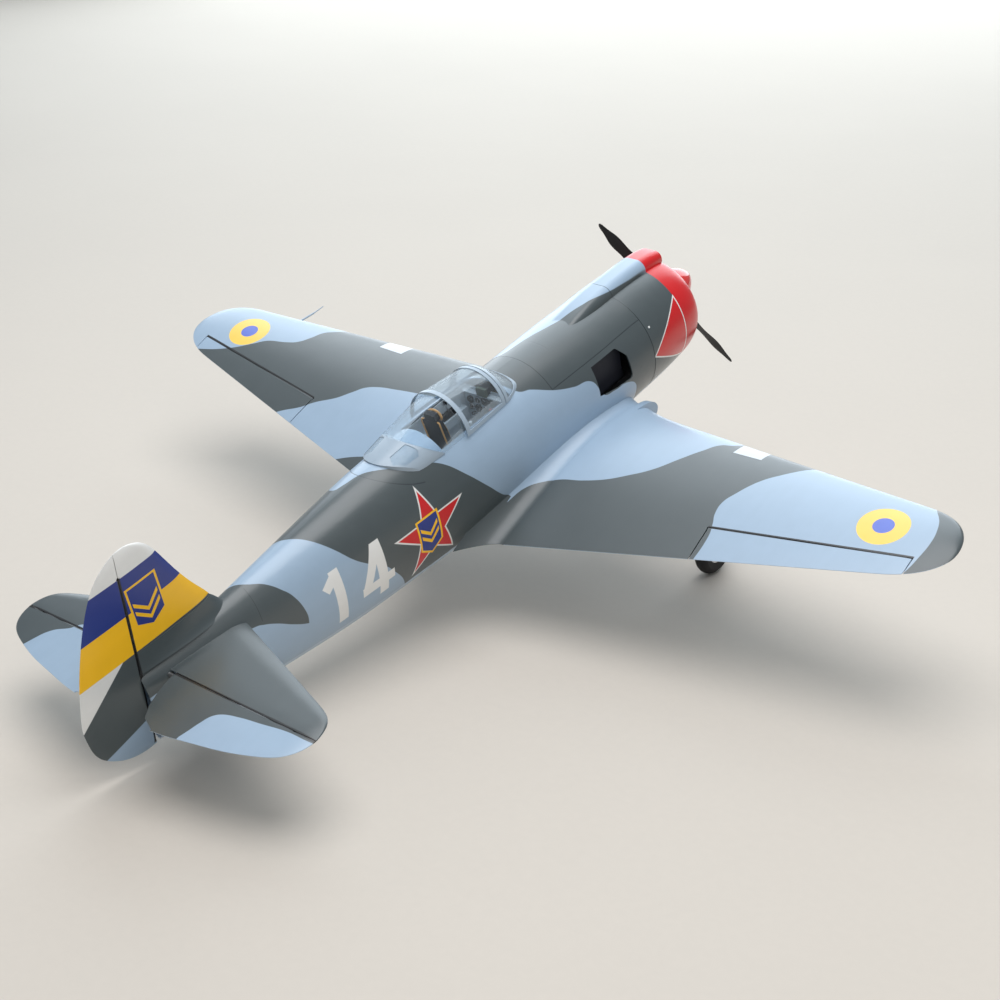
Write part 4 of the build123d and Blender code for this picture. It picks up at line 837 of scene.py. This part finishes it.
def cushion(form_size, centre, name, material, body="airframe", tilt=0.0, ribs=0):
    """A stuffed pad: crowned in the middle, pulled in along its seams, with sewn channels."""
    w, d, h = form_size
    steps = 18

    def build(form):
        grids = []
        for face in (1, -1):
            rows = []
            for i in range(steps + 1):
                row = []
                for j in range(steps + 1):
                    u, v = 2 * i / steps - 1, 2 * j / steps - 1
                    crown = (1 - u ** 4) * (1 - v ** 4)
                    rib = 0.16 * abs(math.sin(math.pi * (v + 1) / 2 * ribs)) if ribs else 0.0
                    pull_u, pull_v = 1 - 0.05 * (1 - v * v), 1 - 0.05 * (1 - u * u)
                    z = face * (h / 2) * (0.35 + 0.65 * crown * (1 - (0.18 if ribs else 0) + rib))
                    if abs(u) == 1 or abs(v) == 1:
                        z = face * h * 0.10
                    row.append(form.verts.new((u * w / 2 * pull_u, v * d / 2 * pull_v, z)))
                rows.append(row)
            grids.append(rows)
            for i in range(steps):
                for j in range(steps):
                    form.faces.new((rows[i][j], rows[i + 1][j], rows[i + 1][j + 1], rows[i][j + 1]))
        rim = [(i, 0) for i in range(steps)] + [(steps, j) for j in range(steps)] \
            + [(i, steps) for i in range(steps, 0, -1)] + [(0, j) for j in range(steps, 0, -1)]
        for (a, b), (c, d2) in zip(rim, rim[1:] + rim[:1]):
            form.faces.new((grids[0][a][b], grids[0][c][d2], grids[1][c][d2], grids[1][a][b]))

    made = piece(name, build, material, body, at(*centre, (tilt, 0, 0)))
    subdivide = made.modifiers.new("round", "SUBSURF")
    subdivide.levels = subdivide.render_levels = 1
    return made


def seat_furnishings():
    cushion((0.037, 0.036, 0.010), (0, 0.8195, 0.0205), "seat_cushion", dark_leather, ribs=4)
    cushion((0.036, 0.078, 0.007), (0, 0.8475, 0.078), "back_pad", dark_leather,
            tilt=math.radians(82), ribs=5)
    cushion((0.026, 0.020, 0.007), (0, 0.8565, 0.140), "head_rest_pad", dark_leather,
            tilt=math.radians(83))
    rim = [(0.0165 * math.sin(a) * 1.0, 0.8555 + 0.0010 * math.cos(a), 0.1400 + 0.0125 * math.cos(a))
           for a in (2 * math.pi * k / 28 for k in range(29))]
    piece("head_rest_piping", tube(rim, 0.0026), tan_leather, "airframe")
    for s in (-1, 1):
        hand = "port" if s > 0 else "starboard"
        edge = [(s * 0.0243, 0.8498 + 0.1774 * (z - 0.010), z) for z in (0.034, 0.058, 0.082, 0.106, 0.128)]
        edge += [(s * 0.0226, 0.8706, 0.1345), (s * 0.0180, 0.8700, 0.1352)]
        piece(f"seat_piping_{hand}", tube(smooth_line(edge, 4), 0.0017), tan_leather, "airframe")
        line = [(s * 0.011, 0.8635, 0.127), (s * 0.0112, 0.8580, 0.1265), (s * 0.0115, 0.8525, 0.122),
                (s * 0.0120, 0.8462, 0.104), (s * 0.0125, 0.8425, 0.080), (s * 0.0130, 0.8392, 0.056),
                (s * 0.0125, 0.8360, 0.040), (s * 0.0105, 0.8290, 0.030), (s * 0.0080, 0.8215, 0.0278)]
        strap = piece(f"shoulder_belt_{hand}", ribbon(smooth_line(line), 0.0100, 0.0008, (1, 0, 0)), tan_web,
                      "airframe")
        measured(smooth_line(line))
        side = [(s * 0.0212, 0.8330, 0.026), (s * 0.0185, 0.8290, 0.0295), (s * 0.0140, 0.8240, 0.0300),
                (s * 0.0090, 0.8200, 0.0290), (s * 0.0050, 0.8180, 0.0286)]
        lap = piece(f"lap_belt_{hand}", ribbon(smooth_line(side), 0.0100, 0.0008, (0, 1, 0.0)), tan_web,
                    "airframe")
        measured(smooth_line(side))
        piece(f"belt_slide_{hand}", block((0.0122, 0.0014, 0.0050), (s * 0.0126, 0.8404, 0.072)), alloy,
              "airframe", bevel=0.0005)
    piece("belt_buckle", block((0.0130, 0.0100, 0.0022), (0, 0.8190, 0.0298)), alloy, "airframe",
          bevel=0.0007)


def smooth_line(points, steps=6):
    """Catmull-Rom line through points."""
    spots = [Vector(p) for p in points]
    padded = [2 * spots[0] - spots[1], *spots, 2 * spots[-1] - spots[-2]]
    line = []
    for k in range(1, len(padded) - 2):
        p0, p1, p2, p3 = padded[k - 1:k + 3]
        for i in range(steps):
            t = i / steps
            line.append(0.5 * ((2 * p1) + (p2 - p0) * t + (2 * p0 - 5 * p1 + 4 * p2 - p3) * t * t
                               + (3 * p1 - p0 - 3 * p2 + p3) * t ** 3))
    line.append(spots[-1])
    return line


def measured(line):
    return sum((b - a).length for a, b in zip(line, line[1:]))


def tube(points, radius, steps=10):
    """A round bead along a line of points."""
    def build(form):
        spots = [Vector(p) for p in points]
        closed = (spots[0] - spots[-1]).length < 1e-6
        rings = []
        for k, spot in enumerate(spots):
            before = spots[k - 1] if k else (spots[-2] if closed else spot)
            after = spots[k + 1] if k + 1 < len(spots) else (spots[1] if closed else spot)
            along = (after - before).normalized()
            side = (side - along * side.dot(along)).normalized() if rings else along.orthogonal().normalized()
            up = along.cross(side)
            angles = [2 * math.pi * i / steps for i in range(steps)]
            rings.append([form.verts.new(spot + side * radius * math.cos(a) + up * radius * math.sin(a))
                          for a in angles])
        for a, b in zip(rings, rings[1:]):
            for i in range(steps):
                form.faces.new((a[i], a[(i + 1) % steps], b[(i + 1) % steps], b[i]))
        if not closed:
            form.faces.new(rings[0])
            form.faces.new(rings[-1][::-1])
        else:
            bmesh.ops.remove_doubles(form, verts=form.verts, dist=1e-5)
    return build


dials()
knobs()
gunsight()
consoles()
seat_furnishings()


# ---------------------------------------------------------------- screws and fittings
PAN_HEAD = [(0, 0.0013), (0.0008, 0.0013), (0.0009, 0.0006), (0.0016, 0.0012), (0.0024, 0.0007),
            (0.0026, 0.0), (0.0026, -0.0006)]
COWL_SCREW_Y, COWL_SCREW_R, COWL_AXIS_Z = 0.298, 0.1283, -0.007


def cowl_screws():
    for k, degrees in enumerate((61, -61, 119, -119, 172)):
        a = math.radians(degrees)
        spot = Vector((-math.sin(a) * COWL_SCREW_R, COWL_SCREW_Y, COWL_AXIS_Z + math.cos(a) * COWL_SCREW_R))
        outward = Vector((-math.sin(a), 0, math.cos(a))).to_track_quat("Z", "Y").to_matrix().to_4x4()
        finish = white_screw if abs(degrees) == 61 else steel
        piece(f"cowl_screw_{k}", lathe(PAN_HEAD, 20), finish, "airframe",
              Matrix.Translation(spot) @ outward)


cowl_screws()


# ---------------------------------------------------------------- stage, light and camera
FLOOR_HALF = 40.0
CAMERA_PLACE, CAMERA_AIM = (-2.32691, 2.55982, 1.81422), (-0.10198, -0.09994, 0.25)


def stage():
    corners = [(x * FLOOR_HALF, y * FLOOR_HALF, 0) for x, y in ((-1, -1), (1, -1), (1, 1), (-1, 1))]
    mesh = bpy.data.meshes.new("floor")
    mesh.from_pydata(corners, [], [(0, 1, 2, 3)])
    floor = bpy.data.objects.new("floor", mesh)
    bpy.context.scene.collection.objects.link(floor)
    s = Surface("pale_floor")
    cloud = s.noise(1.4, 5.0) - 0.5
    speck = s.noise(60.0, 4.0) - 0.5
    tone = s.shade((0.57, 0.52, 0.46), cloud * 0.05 + speck * 0.05)
    mesh.materials.append(s.finish(tone, speck * 0.1 + 0.85))


def area_light(name, place, aim, size, power, colour=(1, 1, 1)):
    data = bpy.data.lights.new(name, "AREA")
    data.shape, data.size, data.energy, data.color = "DISK", size, power, colour
    lamp = bpy.data.objects.new(name, data)
    lamp.location = place
    lamp.visible_camera = False
    lamp.rotation_euler = (Vector(aim) - Vector(place)).to_track_quat("-Z", "Y").to_euler()
    bpy.context.scene.collection.objects.link(lamp)


stage()
area_light("sky_box", (-0.3, 0.2, 5.0), (0, 0, 0.2), 5.0, 226, (0.98, 0.985, 1.0))
area_light("far_box", (3.2, -5.0, 3.4), (0, 0, 0.2), 9.0, 485, (0.84, 0.93, 1.0))
area_light("camera_side", (-4.6, 2.4, 3.4), (0, 0, 0.2), 4.5, 76, (1.0, 0.97, 0.93))
world = bpy.data.worlds.new("soft_studio")
world.use_nodes = True
world.node_tree.nodes["Background"].inputs[0].default_value = (0.84, 0.92, 1.0, 1.0)
world.node_tree.nodes["Background"].inputs[1].default_value = 0.27
bpy.context.scene.world = world

camera_data = bpy.data.cameras.new("camera")
camera_data.lens = 68.14
camera_data.sensor_width = 36.0
camera_data.clip_end = 100.0
camera = bpy.data.objects.new("camera", camera_data)
camera.location = CAMERA_PLACE
camera.rotation_euler = (Vector(CAMERA_AIM) - camera.location).to_track_quat("-Z", "Y").to_euler()
bpy.context.scene.collection.objects.link(camera)
bpy.context.scene.camera = camera
bpy.context.scene.view_settings.view_transform = "Standard"
